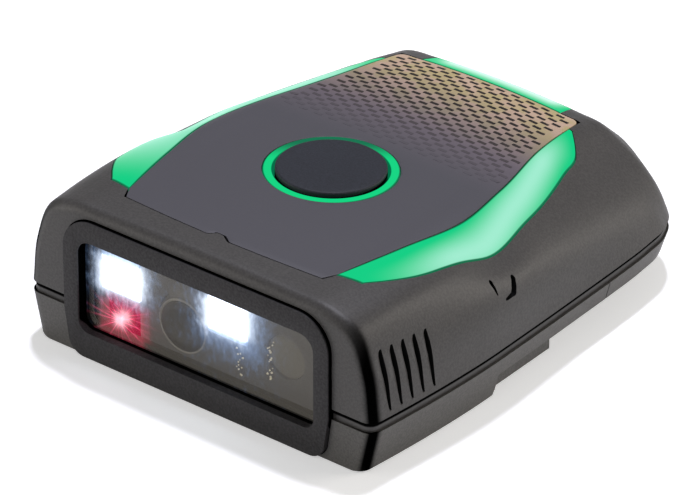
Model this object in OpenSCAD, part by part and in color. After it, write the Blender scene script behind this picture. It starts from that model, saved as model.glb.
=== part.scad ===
// Wearable barcode scanner: two lofted plastic housings round a scan engine, a board and a cell.
// Front window faces -Y, the round trigger button is on top, millimetres, stands on Z = 0.

/* [Housings] */
// Widest outer width at the parting plane
body_w = 50; // [49:0.5:56]
// Length of the housings, front face to rear end
body_l = 58.2; // [57.2:0.1:64]
// Height of the crown above the parting plane
crown_h = 12.3; // [12:0.1:14]
// Height of the parting plane above the surface it stands on
parting_z = 6.5; // [6.3:0.1:7.5]
// Height of the seal band that shows between the two housings
band_h = 1.05; // [0.8:0.05:1.4]
// How far the seal band lies behind the outer skin
band_inset = 0.25; // [0.1:0.05:0.5]
// Wall thickness of both housings
wall = 1.8; // [1.5:0.1:2]
// Rounding of the edge round the front face
edge_r = 1.3; // [0.8:0.1:2]
// Inward lean of each side of the bottom housing, parting to floor
base_taper = 1.1; // [0.6:0.1:1.4]
// Bevel between the side and the floor of the bottom housing
base_bevel = 0.5; // [0.3:0.1:0.8]

/* [Underside] */
// Length of the deep front block of the bottom housing
block_l = 20.6; // [19.5:0.1:21]
// Height of the raised underside behind the block
keel_z = 3; // [2.8:0.1:3.3]
// Height of the latch shoulders between the block and the raised underside
shoulder_z = 1; // [0.8:0.1:1.4]
// Length of the latch shoulders
shoulder_l = 10.2; // [9:0.1:11]
// How far the latch shoulders stand in from the side
shoulder_inset = 0.3; // [0.2:0.1:0.6]
// Width of the cradle rail plate
rail_w = 30; // [26:0.5:32]
// Length of the cradle rail plate
rail_l = 15; // [14:0.5:16]
// Undercut on each side of the cradle rail
rail_undercut = 1.2; // [0.8:0.1:1.6]
// Length of the rear cover
cover_l = 18.2; // [17.2:0.1:19.2]

/* [Front] */
// Width of the bezel
bezel_w = 36.2; // [35:0.1:37.5]
// Height of the bezel
bezel_h = 17.1; // [16.8:0.1:17.3]
// Radius of the two top corners of the bezel
bezel_r = 4; // [3:0.1:5]
// Radius of the two bottom corners of the bezel
bezel_foot_r = 2.1; // [1.5:0.1:2.3]
// Inward lean of each side of the bezel below the parting plane
bezel_taper = 0.5; // [0.4:0.1:1.1]
// How far the bezel stands proud of the front face
bezel_proud = 0.5; // [0.3:0.1:0.8]
// Depth of the bezel let into the front face
bezel_sunk = 0.9; // [0.7:0.1:1]
// Gap between the bezel and the housings round it
bezel_gap = 0.15; // [0.1:0.05:0.25]
// Width of the window aperture
window_w = 32.3; // [31:0.1:33]
// Height of the window aperture
window_h = 11.4; // [10.8:0.1:11.6]
// Height of the sill of the window aperture
sill_z = 3.2; // [3.1:0.1:3.5]
// Thickness of the window pane
pane_t = 1; // [0.8:0.1:1.1]

/* [Top panel and lights] */
// Distance of the line where the light guides begin from the front face
panel_y = 6.1; // [5.5:0.1:7]
// How far the front corners of the panel lie ahead of that line
panel_lead = 1.5; // [1:0.1:2]
// How much narrower the panel is at its front corners, each side
panel_nip = 0.5; // [0.2:0.1:1]
// Distance of the rear edge of the panel from the rear end
panel_back = 7.3; // [6.8:0.1:8]
// Distance of the widest place of the panel from the side
panel_side = 7.95; // [7.5:0.05:8.5]
// Forward bow of the front edge of the panel
panel_bow = 0.8; // [0.4:0.1:1.4]
// Thickness of the panel
panel_t = 0.8; // [0.6:0.1:0.9]
// Widest plan width of the side light guides
guide_w = 4.3; // [3.8:0.1:4.6]
// Thickness of the light guides
guide_t = 1.0; // [0.8:0.1:1.2]
// Plan width of the rear light guide
rear_guide_w = 2.5; // [2:0.1:3]
// How much shorter the rear light guide is than the panel edge, each side
rear_guide_trim = 3.1; // [1.5:0.1:4]
// Seam between the panel, the guides and the housing
seam = 0.12; // [0.08:0.01:0.2]

/* [Trigger button] */
// Distance of the button centre from the front face
button_y = 22.8; // [22.4:0.1:23.4]
// Diameter of the button cap
button_d = 12.2; // [11:0.1:12.6]
// Outer diameter of the light ring
ring_d = 14.9; // [14.6:0.1:15.4]
// Radial clearance of the button in the ring
button_gap = 0.15; // [0.1:0.01:0.25]
// How far the cap stands above the ring
button_proud = 0.45; // [0.3:0.05:0.6]
// Travel of the button
button_travel = 0.5; // [0.3:0.05:0.6]
// Lean of the button towards the rear, in degrees
button_tilt = 2; // [1:0.5:3]
// Height of the middle of the ring face above the parting plane
button_h = 11.85; // [11.7:0.05:12]

/* [Side grooves] */
// Number of grip grooves on each side
groove_n = 5; // [3:1:6]
// Pitch of the grooves
groove_pitch = 1.66; // [1.5:0.01:2]
// Width of a groove at its top
groove_w = 0.9; // [0.6:0.05:1.1]
// Depth of a groove at its top
groove_d = 0.7; // [0.4:0.05:0.9]
// Distance of the first groove from the front face
groove_y = 2.6; // [2.3:0.1:3]

/* [Scan engine] */
// Width of the engine chassis
engine_w = 33.6; // [33:0.1:34]
// Depth of the engine chassis
engine_l = 10.6; // [10:0.1:11]
// Height of the engine chassis
engine_h = 12.4; // [12:0.1:12.6]
// Side of a square illumination lens
lamp_lens = 5.2; // [4.8:0.1:5.4]
// Side of the square aiming lens
aimer_side = 4.6; // [4:0.1:4.8]
// Diameter of the camera barrel
barrel_d = 6.2; // [5.6:0.1:6.4]

/* [Board and cell] */
// Height of the underside of the main board
board_z = 10.7; // [10.6:0.05:10.9]
// Thickness of the main board
board_t = 0.8; // [0.6:0.1:1]
// Clearance between the battery cell and the posts beside it
cell_gap = 0.6; // [0.3:0.1:1.5]
// Distance of the battery cell from the rear end
cell_back = 8.7; // [8.2:0.1:11]
// Thickness of the battery cell
cell_t = 5.3; // [4.6:0.1:5.4]
// Thickness of the foam pad under the cell
foam_t = 0.4; // [0.3:0.05:0.5]
// Diameter of the housing screws
screw_d = 2; // [1.8:0.1:2.2]

/* [Hidden] */
$fn = 48;
eps = 0.01;
fit = 0.1;                                  // running fit between seated pieces
shift_y = (body_l - bezel_proud) / 2;       // brings the middle of the length to Y = 0
low_z = parting_z - band_h;                 // upper rim of the bottom housing
side_x = body_w / 2;                        // outermost side at the parting
cover_y = body_l - cover_l;                 // seam in front of the rear cover
panel_l = body_l - panel_y - panel_back;
panel_w = body_w - 2 * panel_side;

// Colours, as the photograph shows them
SHELL = "#4f4d4b";
BLACK = "#1b1b1c";
PANEL = "#3e3d46";
GREEN = "#2ee59b";
METAL = "#b9b8b4";
BRASS = "#c7a24a";
BOARD = "#1d4a34";

// Form of the top housing. Each row: place along the length, then half width at the parting,
// crease x and height, shoulder x and height, panel edge x and height, crown height.
// Lengths are shares of body_l, widths of body_w / 2 and heights of crown_h.
FORM = [
    [0.000, 0.940, 0.910, 0.460, 0.825, 0.845, 0.690, 0.955, 0.985],
    [0.105, 0.968, 0.928, 0.500, 0.840, 0.855, 0.690, 0.960, 1.000],
    [0.205, 0.988, 0.944, 0.550, 0.852, 0.840, 0.690, 0.955, 1.000],
    [0.310, 1.000, 0.956, 0.580, 0.856, 0.800, 0.690, 0.945, 0.985],
    [0.410, 1.000, 0.958, 0.544, 0.827, 0.725, 0.685, 0.928, 0.960],
    [0.515, 0.998, 0.954, 0.475, 0.805, 0.732, 0.660, 0.899, 0.935],
    [0.615, 0.994, 0.949, 0.384, 0.750, 0.717, 0.609, 0.870, 0.910],
    [0.720, 0.989, 0.939, 0.291, 0.698, 0.692, 0.580, 0.833, 0.889],
    [0.820, 0.977, 0.923, 0.230, 0.646, 0.656, 0.539, 0.788, 0.853],
    [0.885, 0.953, 0.896, 0.208, 0.624, 0.616, 0.523, 0.737, 0.797],
    [0.935, 0.885, 0.837, 0.184, 0.601, 0.566, 0.527, 0.634, 0.688],
    [0.972, 0.761, 0.707, 0.089, 0.525, 0.428, 0.440, 0.449, 0.471],
    [1.000, 0.528, 0.495, 0.012, 0.371, 0.110, 0.334, 0.111, 0.123]
];
// Half width of the panel along its length, as shares of panel_l and panel_w / 2
PANEL_EDGE = [[0, 0.83], [0.19, 0.931], [0.37, 1.007], [0.57, 0.934], [0.8, 0.791], [1, 0.723]];
// Plan width of a side guide along the panel, as shares of panel_l and guide_w
GUIDE_EDGE = [[0.01, 0.7], [0.11, 1], [0.35, 0.93], [0.57, 0.927], [0.81, 0.824], [0.89, 0.623], [0.93, 0.26], [0.945, 0.12]];

// Smooth curves through points

// Slope at point i of the values p over the places t
function slope(p, t, i) = let (n = len(p) - 1)
    i == 0 ? (p[1] - p[0]) / (t[1] - t[0]) :
    i == n ? (p[n] - p[n - 1]) / (t[n] - t[n - 1]) :
    let (a = t[i] - t[i - 1], b = t[i + 1] - t[i])
    ((p[i + 1] - p[i]) * a / b + (p[i] - p[i - 1]) * b / a) / (a + b);

// Point at share u of the piece between points i and i + 1
function between(p, t, i, u) = let (h = t[i + 1] - t[i], m = slope(p, t, i), n = slope(p, t, i + 1))
    (2 * u^3 - 3 * u^2 + 1) * p[i] + (u^3 - 2 * u^2 + u) * h * m
    + (3 * u^2 - 2 * u^3) * p[i + 1] + (u^3 - u^2) * h * n;

function piece_of(t, s, i = 0) = i >= len(t) - 2 || s < t[i + 1] ? i : piece_of(t, s, i + 1);

// Value at place s of a curve through the values p at the places t
function smooth(p, t, s) = let (c = min(max(s, t[0]), t[len(t) - 1]), i = piece_of(t, c))
    between(p, t, i, (c - t[i]) / (t[i + 1] - t[i]));

function arc_lengths(p, i = 0, sum = 0) =
    i == len(p) - 1 ? [sum] : concat([sum], arc_lengths(p, i + 1, sum + norm(p[i + 1] - p[i])));

// Form of the top housing

FORM_T = [for (r = FORM) r[0]];
FORM_V = [for (r = FORM) [for (k = [1:8]) r[k]]];
STEPS = [3, 4, 4, 2, 2, 1];                   // facets between the knots of a section

function knots(y) = let (f = smooth(FORM_V, FORM_T, y / body_l), r = body_w / 2, h = crown_h, c = f[7] - f[6])
    [[f[0] * r, 0], [f[1] * r, f[2] * h], [f[3] * r, f[4] * h], [f[5] * r, f[6] * h],
     [0.75 * f[5] * r, (f[6] + 0.5 * c) * h], [0.38 * f[5] * r, (f[6] + 0.88 * c) * h],
     [0, f[7] * h], [-0.38 * f[5] * r, (f[6] + 0.88 * c) * h]];

// Right half of the section at y, from the parting to the crown
function half_section(y) = let (k = knots(y), t = arc_lengths(k))
    concat([for (i = [0:5]) for (j = [0:STEPS[i] - 1]) between(k, t, i, j / STEPS[i])], [k[6]]);

// The same, moved inwards by d along its own normals
function inner_half(y, d) = let (s = half_section(y), n = len(s) - 1)
    [for (i = [0:n]) let (a = s[max(i - 1, 0)], b = s[min(i + 1, n)], v = (b - a) / norm(b - a))
        i == 0 ? [s[0][0] - d, 0] : i == n ? [0, s[n][1] - d] : s[i] - d * [v[1], -v[0]]];

function mirrored(s) = concat(s, [for (i = [len(s) - 2:-1:0]) [-s[i][0], s[i][1]]]);

// Inset of the skin close to the front face, which rounds its edge
function front_inset(y) = y >= edge_r ? 0 : edge_r - sqrt(edge_r^2 - (edge_r - y)^2);

// Height of the skin above the parting plane at a plan point
function flipped(s) = [for (i = [len(s) - 1:-1:0]) s[i]];
function skin(x, y) = parting_z + lookup(abs(x), flipped(half_section(y)));

// Places of the sections along the length
FRONT_Y = [for (a = [0:30:60]) edge_r * (1 - cos(a))];
SPAN_Y = [for (i = [0:12]) edge_r + (0.84 * body_l - edge_r) * i / 12];
REAR_Y = [for (s = [0.87, 0.9, 0.925, 0.945, 0.962, 0.977, 0.99, 1]) s * body_l];
OUTER_Y = concat(FRONT_Y, SPAN_Y, REAR_Y);

// A solid skinned over closed loops of points, one loop after the other
module loft(loops) {
    n = len(loops[0]);
    m = len(loops);
    sides = [for (i = [0:m - 2]) for (j = [0:n - 1]) let (a = i * n + j, b = i * n + (j + 1) % n)
        each [[a, b, a + n], [b, b + n, a + n]]];
    polyhedron([for (l = loops) each l],
        concat([[for (j = [n - 1:-1:0]) j]], sides, [[for (j = [0:n - 1]) (m - 1) * n + j]]));
}

function loop_at(half, y, z) = [for (p = mirrored(half)) [p[0], y, z + p[1]]];

// The whole top housing as a solid, cut off at the parting plane
module top_mass() loft([for (y = OUTER_Y) loop_at(inner_half(y, front_inset(y)), y, parting_z)]);

// The room inside it. Towards the rear it follows the skin a wall further on.
ROOM_Y = [for (i = [0:16]) wall + (body_l - 2.6 * wall) * sin(i * 90 / 16)];
function skin_place(y) = y + wall * pow(min(1, max(0, y / body_l - 0.55) / 0.4), 2);
module top_room() difference() {
    loft([for (y = ROOM_Y) [for (p = mirrored(inner_half(skin_place(y), wall)))
        [p[0], y, parting_z + (p[1] <= 0 ? -eps : p[1])]]]);
    translate([0, button_y, parting_z + button_h - ring_seat - 1.6]) cylinder(d = boss_d, h = 9);
}

// Outline of both housings at the parting, drawn in or out by d
PLAN = [for (y = OUTER_Y) [smooth(FORM_V, FORM_T, y / body_l)[0] * body_w / 2 - front_inset(y), y]];
module plan(d = 0) offset(delta = -d) polygon(concat(PLAN, [for (i = [len(PLAN) - 1:-1:0]) [-PLAN[i][0], PLAN[i][1]]]));
// The outline at height z, leant in by d on each side
module slice(d, z) translate([0, 0, z]) scale([1 - 2 * d / body_w, 1 - d / body_l, 1]) linear_extrude(eps) plan();

// Panel, guides and their seats, as slabs that follow the skin

function panel_half(y) = panel_w / 2
    * smooth([for (e = PANEL_EDGE) e[1]], [for (e = PANEL_EDGE) e[0]], (y - panel_y) / panel_l);
function guide_plan(y) = guide_w
    * smooth([for (e = GUIDE_EDGE) e[1]], [for (e = GUIDE_EDGE) e[0]], (y - panel_y) / panel_l);
function panel_front(x) = panel_y - panel_lead - panel_bow * (1 - pow(2 * x / (PANEL_EDGE[0][1] * panel_w), 2));
panel_end = panel_y + panel_l;

// Grid of plan points of the panel, grown by g. Its first row is the bowed front edge.
panel_nose = panel_half(panel_y) - panel_nip;
function panel_grid(g) = concat(
    [[for (j = [-6:6]) let (x = j / 6 * (panel_nose + g)) [x, panel_front(min(abs(x), panel_nose)) - g]]],
    [for (i = [0:11]) let (y = panel_y + i / 11 * panel_l) [for (j = [-6:6])
        [j / 6 * (panel_half(y) + g), i == 11 ? y + g : y]]]);

// Grid of plan points of a side guide on the side k, grown by g
GUIDE_U = [0.01, 0.05, 0.11, 0.2, 0.28, 0.35, 0.42, 0.5, 0.6, 0.7, 0.8, 0.86, 0.9, 0.93, 0.945];
function guide_grid(k, g) = [for (u = GUIDE_U)
    let (q = panel_y + u * panel_l, a = panel_half(q) + seam - g, b = panel_half(q) + guide_plan(q) + g,
         y = u == GUIDE_U[0] ? q - g : u == GUIDE_U[len(GUIDE_U) - 1] ? q + g : q)
    [for (j = k > 0 ? [0:4] : [4:-1:0]) [k * (a + (b - a) * j / 4), y]]];

// Grid of plan points of the rear guide, grown by g
function rear_grid(g) = [for (i = [0:4]) [for (j = [-6:6])
    [j / 6 * (panel_half(panel_end) - rear_guide_trim + g), panel_end + seam - g + (rear_guide_w + 2 * g) * i / 4]]];

// A slab over a plan grid, from up above the skin to down below it
module skin_slab(grid, up, down) {
    n = len(grid[0]);
    m = len(grid);
    c = n * m;
    top = [for (r = grid) for (p = r) [p[0], p[1], skin(p[0], p[1]) + up]];
    low = [for (r = grid) for (p = r) [p[0], p[1], skin(p[0], p[1]) - down]];
    over = [for (i = [0:m - 2]) for (j = [0:n - 2]) let (a = i * n + j)
        each [[a, a + n, a + 1], [a + 1, a + n, a + n + 1]]];
    under = [for (f = over) [f[0] + c, f[2] + c, f[1] + c]];
    ends = [for (j = [0:n - 2]) each [
        [j, j + 1, j + c], [j + 1, j + 1 + c, j + c],
        [(m - 1) * n + j, (m - 1) * n + j + c, (m - 1) * n + j + 1],
        [(m - 1) * n + j + 1, (m - 1) * n + j + c, (m - 1) * n + j + 1 + c]]];
    sides = [for (i = [0:m - 2]) let (a = i * n, b = i * n + n - 1) each [
        [a, a + c, a + n], [a + n, a + c, a + n + c],
        [b, b + n, b + c], [b + n, b + n + c, b + c]]];
    polyhedron(concat(top, low), concat(over, under, ends, sides));
}

// Light feet reach from the guides through the housing to the lamps on the board
FOOT_Y = [button_y - 2, button_y + 11];
foot_w = 1.8;
foot_l = 2.6;
function foot_x(y) = panel_half(y) + 0.36 * guide_plan(y);
lamp_h = 0.7;
lamp_z = board_z + board_t + lamp_h;
module feet(k, g = 0) for (y = FOOT_Y)
    translate([k * foot_x(y) - foot_w / 2 - g, y - foot_l / 2 - g, lamp_z + 0.2 - g])
        cube([foot_w + 2 * g, foot_l + 2 * g, skin(foot_x(y), y) - guide_t - lamp_z + 0.2 + g]);
rear_foot_w = 6;
rear_foot_l = 1.1;
module rear_foot(g = 0) translate([-rear_foot_w / 2 - g, panel_end + seam - g, lamp_z + 0.2 - g])
    cube([rear_foot_w + 2 * g, rear_foot_l + 2 * g, skin(0, panel_end + rear_foot_l) - guide_t - lamp_z + 0.2 + g]);

// Button stack, in its own frame: the middle of the ring face is the origin
ring_seat = 2;                              // depth of the ring below its face
ledge_t = 0.8;                              // thickness of the ledge that carries the ring
flange_t = 0.6;                             // thickness of the rim that holds the button in
boss_d = ring_d + 3;
flange_d = button_d + 1.2;
module at_button() translate([0, button_y, parting_z + button_h]) rotate([-button_tilt, 0, 0]) children();

// Housing screws: front pair in the block, rear pair beside the cell
SCREWS = [[side_x - 4.7, block_l - 5], [side_x - 6.1, cover_y + 5]];
boss_r = 2;
head_d = 3.4;
head_h = 1.2;
insert_l = 4;
insert_d = 2.9;
function screw_base(y) = y < block_l ? 0.2 : keel_z + 0.2;
module each_screw() for (s = SCREWS) for (k = [-1, 1]) translate([k * s[0], s[1], 0]) children();

// Posts that carry the main board
POSTS = [[side_x - 7.3, block_l + 5.9], [side_x - 7.6, cover_y - 3]];
post_r = 1.3;
pilot_d = 1.2;
pad_r = 1.2;                                // head of a board screw
module each_post() for (p = POSTS) for (k = [-1, 1]) translate([k * p[0], p[1], 0]) children();

rail_y = block_l + 2;                       // front end of the rail plate
floor_z = 2;                                // inner floor of the front block
cell_floor = keel_z + 1.4;                  // inner floor behind it
cell_y = block_l + 1.9;                     // front end of the cell
cell_l = body_l - cell_back - cell_y;
cell_w = 2 * (POSTS[1][0] - post_r - cell_gap);
pane_y = bezel_sunk + fit / 2;              // front of the window pane
chassis_y = pane_y + pane_t + 0.75;         // front of the engine chassis
pane_w = window_w + 1.2;
pane_h = window_h + 1.2;
pane_z = sill_z - 0.6;
window_z = sill_z + window_h / 2;

// Rounded outline, w wide and h high about the middle of its base, with top and foot radii;
// its sides lean in by t below height v
module arch(w, h, r, f, t = 0, v = 0) hull() for (k = [-1, 1]) {
    translate([k * (w / 2 - r), h - r]) circle(r, $fn = 32);
    translate([k * (w / 2 - t - f), f]) circle(f, $fn = 32);
    translate([k * (w / 2 - f), max(f, v)]) circle(f, $fn = 32);
}
// Stands a plan drawing up so that it faces the front, from y back over depth d
module upright(y, d) translate([0, y + d, 0]) rotate([90, 0, 0]) linear_extrude(d) children();

module bezel_cut() translate([0, 0, -eps]) upright(-2, 2 + bezel_sunk)
    arch(bezel_w + 2 * bezel_gap, bezel_h + bezel_gap, bezel_r + bezel_gap, bezel_foot_r, bezel_taper, parting_z - 1);
module pane_cut() translate([0, 0, pane_z - fit / 2]) upright(-1, wall + 4)
    arch(pane_w + fit, pane_h + fit, 2, 1.6);

// Housings

// Tapered slits, wide and deep at the top
module grooves() for (k = [-1, 1]) for (i = [0:groove_n - 1]) {
    y = groove_y + i * groove_pitch;
    x = knots(y)[1][0];
    hull() {
        translate([k * (x - 0.35), y, parting_z + 0.62 * crown_h - 0.1 * i])
            cube([groove_d * 2, groove_w, 0.3], center = true);
        translate([k * (x + 0.95), y - 0.2, parting_z + 0.05 * crown_h])
            cube([groove_d, groove_w * 0.5, 0.2], center = true);
    }
}

// Strap notch on each side: a scoop that runs into a narrow slot
notch_y = 22.6;
notch_z = 12.6;
module notches() for (k = [-1, 1]) translate([k * (body_w / 2 - 1.1), notch_y, notch_z]) {
    hull() {
        translate([0, 0.9, 0]) cube([1.5, 1.5, 3.3], center = true);
        translate([0.4, -1.6, 0.5]) cube([1, 0.8, 1.4], center = true);
    }
    translate([-0.4, 1.1, 0]) cube([2.2, 1.1, 3], center = true);
}

module top_housing() color(SHELL) difference() {
    union() {
        difference() {
            top_mass();
            top_room();
        }
        intersection() {
            top_mass();
            each_screw() translate([0, 0, parting_z]) cylinder(r = boss_r, h = 20);
        }
    }
    bezel_cut();
    pane_cut();
    grooves();
    notches();
    skin_slab(panel_grid(seam), 2, panel_t + fit / 2);
    for (k = [-1, 1]) {
        skin_slab(guide_grid(k, seam), 2, guide_t + fit / 2);
        feet(k, seam);
    }
    skin_slab(rear_grid(seam), 2, guide_t + fit / 2);
    rear_foot(seam);
    at_button() {
        translate([0, 0, -ring_seat]) cylinder(d = ring_d + fit, h = 6);
        translate([0, 0, -9]) cylinder(d = flange_d + 2 * button_gap, h = 12);
    }
    each_screw() translate([0, 0, parting_z - eps]) cylinder(d = insert_d, h = insert_l + 0.6);
}

module base_mass() {
    hull() {
        slice(0, low_z - eps);
        slice(base_taper, base_bevel);
    }
    hull() {
        slice(base_taper, base_bevel);
        slice(base_taper + base_bevel, 0);
    }
}

// What the raised underside, the latch shoulders and the keel leave out of the bottom
keel_w = rail_w + 2;
keel_end = rail_y + rail_l + 0.6;
module under_cut() {
    far = body_w;
    foot_side = side_x - base_taper - shoulder_inset;
    translate([-far, block_l, -1]) cube([2 * far, body_l, 1 + shoulder_z]);
    for (k = [0, 1]) mirror([k, 0, 0]) {
        translate([keel_w / 2, block_l + shoulder_l, -1]) cube([far, body_l, 1 + keel_z]);
        translate([foot_side, block_l, -1]) cube([far, body_l, 1 + keel_z]);
    }
    translate([-far, keel_end, -1]) cube([2 * far, body_l, 1 + keel_z]);
    hull() {
        translate([-far, block_l, -1]) cube([2 * far, 1, 1 + shoulder_z]);
        translate([-far, block_l - 0.9, -1]) cube([2 * far, 1, 1]);
    }
}

module base_room() {
    hull() {
        translate([0, 0, low_z]) linear_extrude(1) intersection() {
            plan(wall);
            translate([-body_w, wall]) square([2 * body_w, body_l]);
        }
        translate([0, 0, cell_floor]) linear_extrude(eps) intersection() {
            plan(wall + 0.3);
            translate([-body_w, wall]) square([2 * body_w, body_l]);
        }
    }
    translate([0, -base_taper, floor_z]) linear_extrude(cell_floor) intersection() {
        plan(wall + base_taper);
        translate([-body_w, wall + base_taper + fit]) square([2 * body_w, block_l - 2 * wall]);
    }
}

module base_shell() difference() {
    base_mass();
    under_cut();
    base_room();
}

module bottom_housing() color(SHELL) difference() {
    union() {
        intersection() {
            base_shell();
            translate([-body_w, -1, -1]) cube([2 * body_w, cover_y + 1, 20]);
        }
        intersection() {
            hull() base_mass();
            each_screw() cylinder(r = boss_r, h = 20);
            translate([-body_w, -1, floor_z - 0.5]) cube([2 * body_w, cover_y + 1, 20]);
        }
        for (s = SCREWS) if (s[1] < cover_y) for (k = [-1, 1])
            translate([k * s[0], s[1], low_z - 1]) cylinder(r = boss_r, h = band_h + 1);
        each_post() translate([0, 0, cell_floor - 0.5]) cylinder(r = post_r, h = board_z - cell_floor + 0.5);
    }
    bezel_cut();
    pane_cut();
    each_screw() {
        translate([0, 0, -1]) cylinder(d = screw_d + 0.3, h = 20);
        translate([0, 0, -1]) cylinder(d = head_d + 0.3, h = 1.2 + head_h);
    }
    each_post() translate([0, 0, board_z - 3]) cylinder(d = pilot_d, h = 4);
    each_rail_screw() cylinder(d = pilot_d, h = 2.4);
    contact_places() translate([0, 0, 0]) cylinder(d = pin_d + 0.3, h = 20, center = true);
}

module rear_cover() color(SHELL) difference() {
    union() {
        intersection() {
            base_shell();
            translate([-body_w, cover_y + seam, -1]) cube([2 * body_w, body_l, 20]);
        }
        for (s = SCREWS) if (s[1] > cover_y) for (k = [-1, 1])
            translate([k * s[0], s[1], keel_z]) cylinder(r = boss_r, h = parting_z - keel_z);
    }
    each_screw() {
        translate([0, 0, -1]) cylinder(d = screw_d + 0.3, h = 20);
        translate([0, 0, keel_z - 1]) cylinder(d = head_d + 0.3, h = 1.2 + head_h);
    }
}

module parting_seal() color(BLACK) difference() {
    translate([0, 0, low_z]) linear_extrude(band_h) difference() {
        plan(band_inset);
        plan(wall);
    }
    bezel_cut();
    pane_cut();
}

// Rail plate that a glove cradle slides on, with its two contact wells
rail_h = shoulder_z;
rail_head_d = 2.6;
function rail_mid() = rail_y + rail_l / 2;
module each_rail_screw() for (k = [-1, 1]) translate([k * (rail_w / 2 - 3), rail_mid(), shoulder_z]) children();
contact_n = 4;
contact_pitch = 3;
pin_d = 1.6;
module contact_places() for (i = [0:contact_n - 1])
    translate([(i - (contact_n - 1) / 2) * contact_pitch, rail_mid() + 2, 0]) children();
module cradle_rail() color(BLACK) difference() {
    union() {
        translate([-rail_w / 2, rail_y, 0]) cube([rail_w, rail_l, rail_h * 0.5]);
        translate([-rail_w / 2 + rail_undercut, rail_y, rail_h * 0.5 - eps])
            cube([rail_w - 2 * rail_undercut, rail_l, rail_h * 0.5 + eps]);
    }
    each_rail_screw() {
        translate([0, 0, -3]) cylinder(d = pilot_d + 0.3, h = 4);
        translate([0, 0, -3]) cylinder(d = rail_head_d + 0.3, h = 3 - rail_h + 0.6);
    }
    contact_places() translate([0, 0, -1]) cylinder(d = pin_d + 0.3, h = 4);
}

module rail_screws() color(METAL) each_rail_screw() translate([0, 0, 0.1 - rail_h]) {
    cylinder(d = rail_head_d, h = 0.5);
    cylinder(d = pilot_d, h = rail_h + 2);
}

// Front

module front_bezel() color(BLACK) difference() {
    upright(-bezel_proud, bezel_proud + bezel_sunk) arch(bezel_w, bezel_h, bezel_r, bezel_foot_r, bezel_taper, parting_z - 1);
    translate([0, 0, sill_z]) upright(-2, 6) arch(window_w, window_h, 1.9, 1.4);
}

module scan_window() color("#20242a", 0.45) translate([0, 0, pane_z]) upright(pane_y, pane_t)
    arch(pane_w - fit, pane_h - fit, 1.9, 1.5);

module window_gasket() color(BLACK) difference() {
    translate([0, 0, pane_z - 0.5]) upright(pane_y + pane_t, chassis_y - pane_y - pane_t)
        arch(pane_w + 1, pane_h + 1, 2.4, 1.8);
    translate([0, 0, pane_z + 0.5]) upright(-1, 8) arch(pane_w - 1.6, pane_h - 1, 1.6, 1.2);
}

// Top

module top_panel() color(PANEL) difference() {
    skin_slab(panel_grid(0), 0, panel_t);
    at_button() translate([0, 0, -4]) cylinder(d = ring_d + fit, h = 8);
}

module side_guide(k) color(GREEN) {
    skin_slab(guide_grid(k, 0), 0, guide_t);
    feet(k);
}
module light_guide_left() side_guide(-1);
module light_guide_right() side_guide(1);
module light_guide_rear() color(GREEN) {
    skin_slab(rear_grid(0), 0, guide_t);
    rear_foot();
}

module button_light_ring() color(GREEN) at_button() translate([0, 0, -ring_seat]) difference() {
    cylinder(d = ring_d - fit, h = ring_seat);
    translate([0, 0, -1]) cylinder(d = button_d + 2 * button_gap, h = ring_seat + 2);
}

// Cap, rim and stem of the button in one moulding
stem_d = 3;
switch_h = 1.5;
switch_w = 4.6;
function stem_end() = board_z + board_t + switch_h + 0.05 - (parting_z + button_h);
module trigger_button() color("#3d3d48") at_button() {
    translate([0, 0, -ring_seat - 0.05]) cylinder(d = button_d, h = ring_seat + 0.05 + button_proud);
    translate([0, 0, -ring_seat - 0.05 - flange_t]) cylinder(d = flange_d, h = flange_t);
    translate([0, 0, stem_end() + button_travel + 0.1]) cylinder(d = stem_d, h = -stem_end() - ring_seat - button_travel);
}

module trigger_switch() color(METAL) translate([0, button_y, board_z + board_t]) {
    translate([-switch_w / 2, -switch_w / 2, 0]) cube([switch_w, switch_w, switch_h - 0.5]);
    cylinder(d = 2.2, h = switch_h);
}

// Scan engine

LAMPS = [[-12.6, 10.1], [2.1, 10.3]];
AIMER = [-12.5, 4.8];
CAMERA = [-4.2, 7.4];
OPTIC = [9.9, 8.2];
plate_t = 1.4;
led_board_y = chassis_y + plate_t + 1.2;
chassis_z = floor_z;
module at_front(p) translate([p[0], 0, p[1]]) children();
module along_y(y, d, h) translate([0, y, 0]) rotate([-90, 0, 0]) cylinder(d = d, h = h);

module engine_chassis() color(BLACK) difference() {
    translate([-engine_w / 2, chassis_y, chassis_z]) cube([engine_w, engine_l, engine_h]);
    translate([-engine_w / 2 + 1.2, chassis_y + plate_t, chassis_z + 1.2])
        cube([engine_w - 2.4, engine_l, engine_h - 2.4]);
    for (p = LAMPS) at_front(p) translate([-lamp_lens / 2 - fit, -1, -lamp_lens / 2 - fit])
        cube([lamp_lens + 2 * fit, 9, lamp_lens + 2 * fit]);
    at_front(AIMER) translate([-aimer_side / 2 - fit, -1, -aimer_side / 2 - fit])
        cube([aimer_side + 2 * fit, 9, aimer_side + 2 * fit]);
    at_front(CAMERA) along_y(-1, barrel_d + 2 * fit, 20);
    at_front(OPTIC) along_y(-1, 5.2, 9);
}

module illumination_board() color(BOARD) difference() {
    translate([-engine_w / 2 + 1.3, led_board_y, chassis_z + 1.3]) cube([engine_w - 2.6, 0.8, engine_h - 2.6]);
    at_front(CAMERA) along_y(0, barrel_d + 0.4, 20);
}

module illumination_leds() color("#f4f2dc") for (p = LAMPS) at_front(p)
    translate([-1.75, led_board_y - 0.8, -1.75]) cube([3.5, 0.8, 3.5]);

module illumination_lenses() color("#f2f6ff") for (p = LAMPS) at_front(p) difference() {
    translate([-lamp_lens / 2, chassis_y - 0.2, -lamp_lens / 2])
        cube([lamp_lens, led_board_y - 0.85 - chassis_y + 0.2, lamp_lens]);
    translate([0, chassis_y - 4.1, 0]) sphere(r = 4.2);
}

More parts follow.
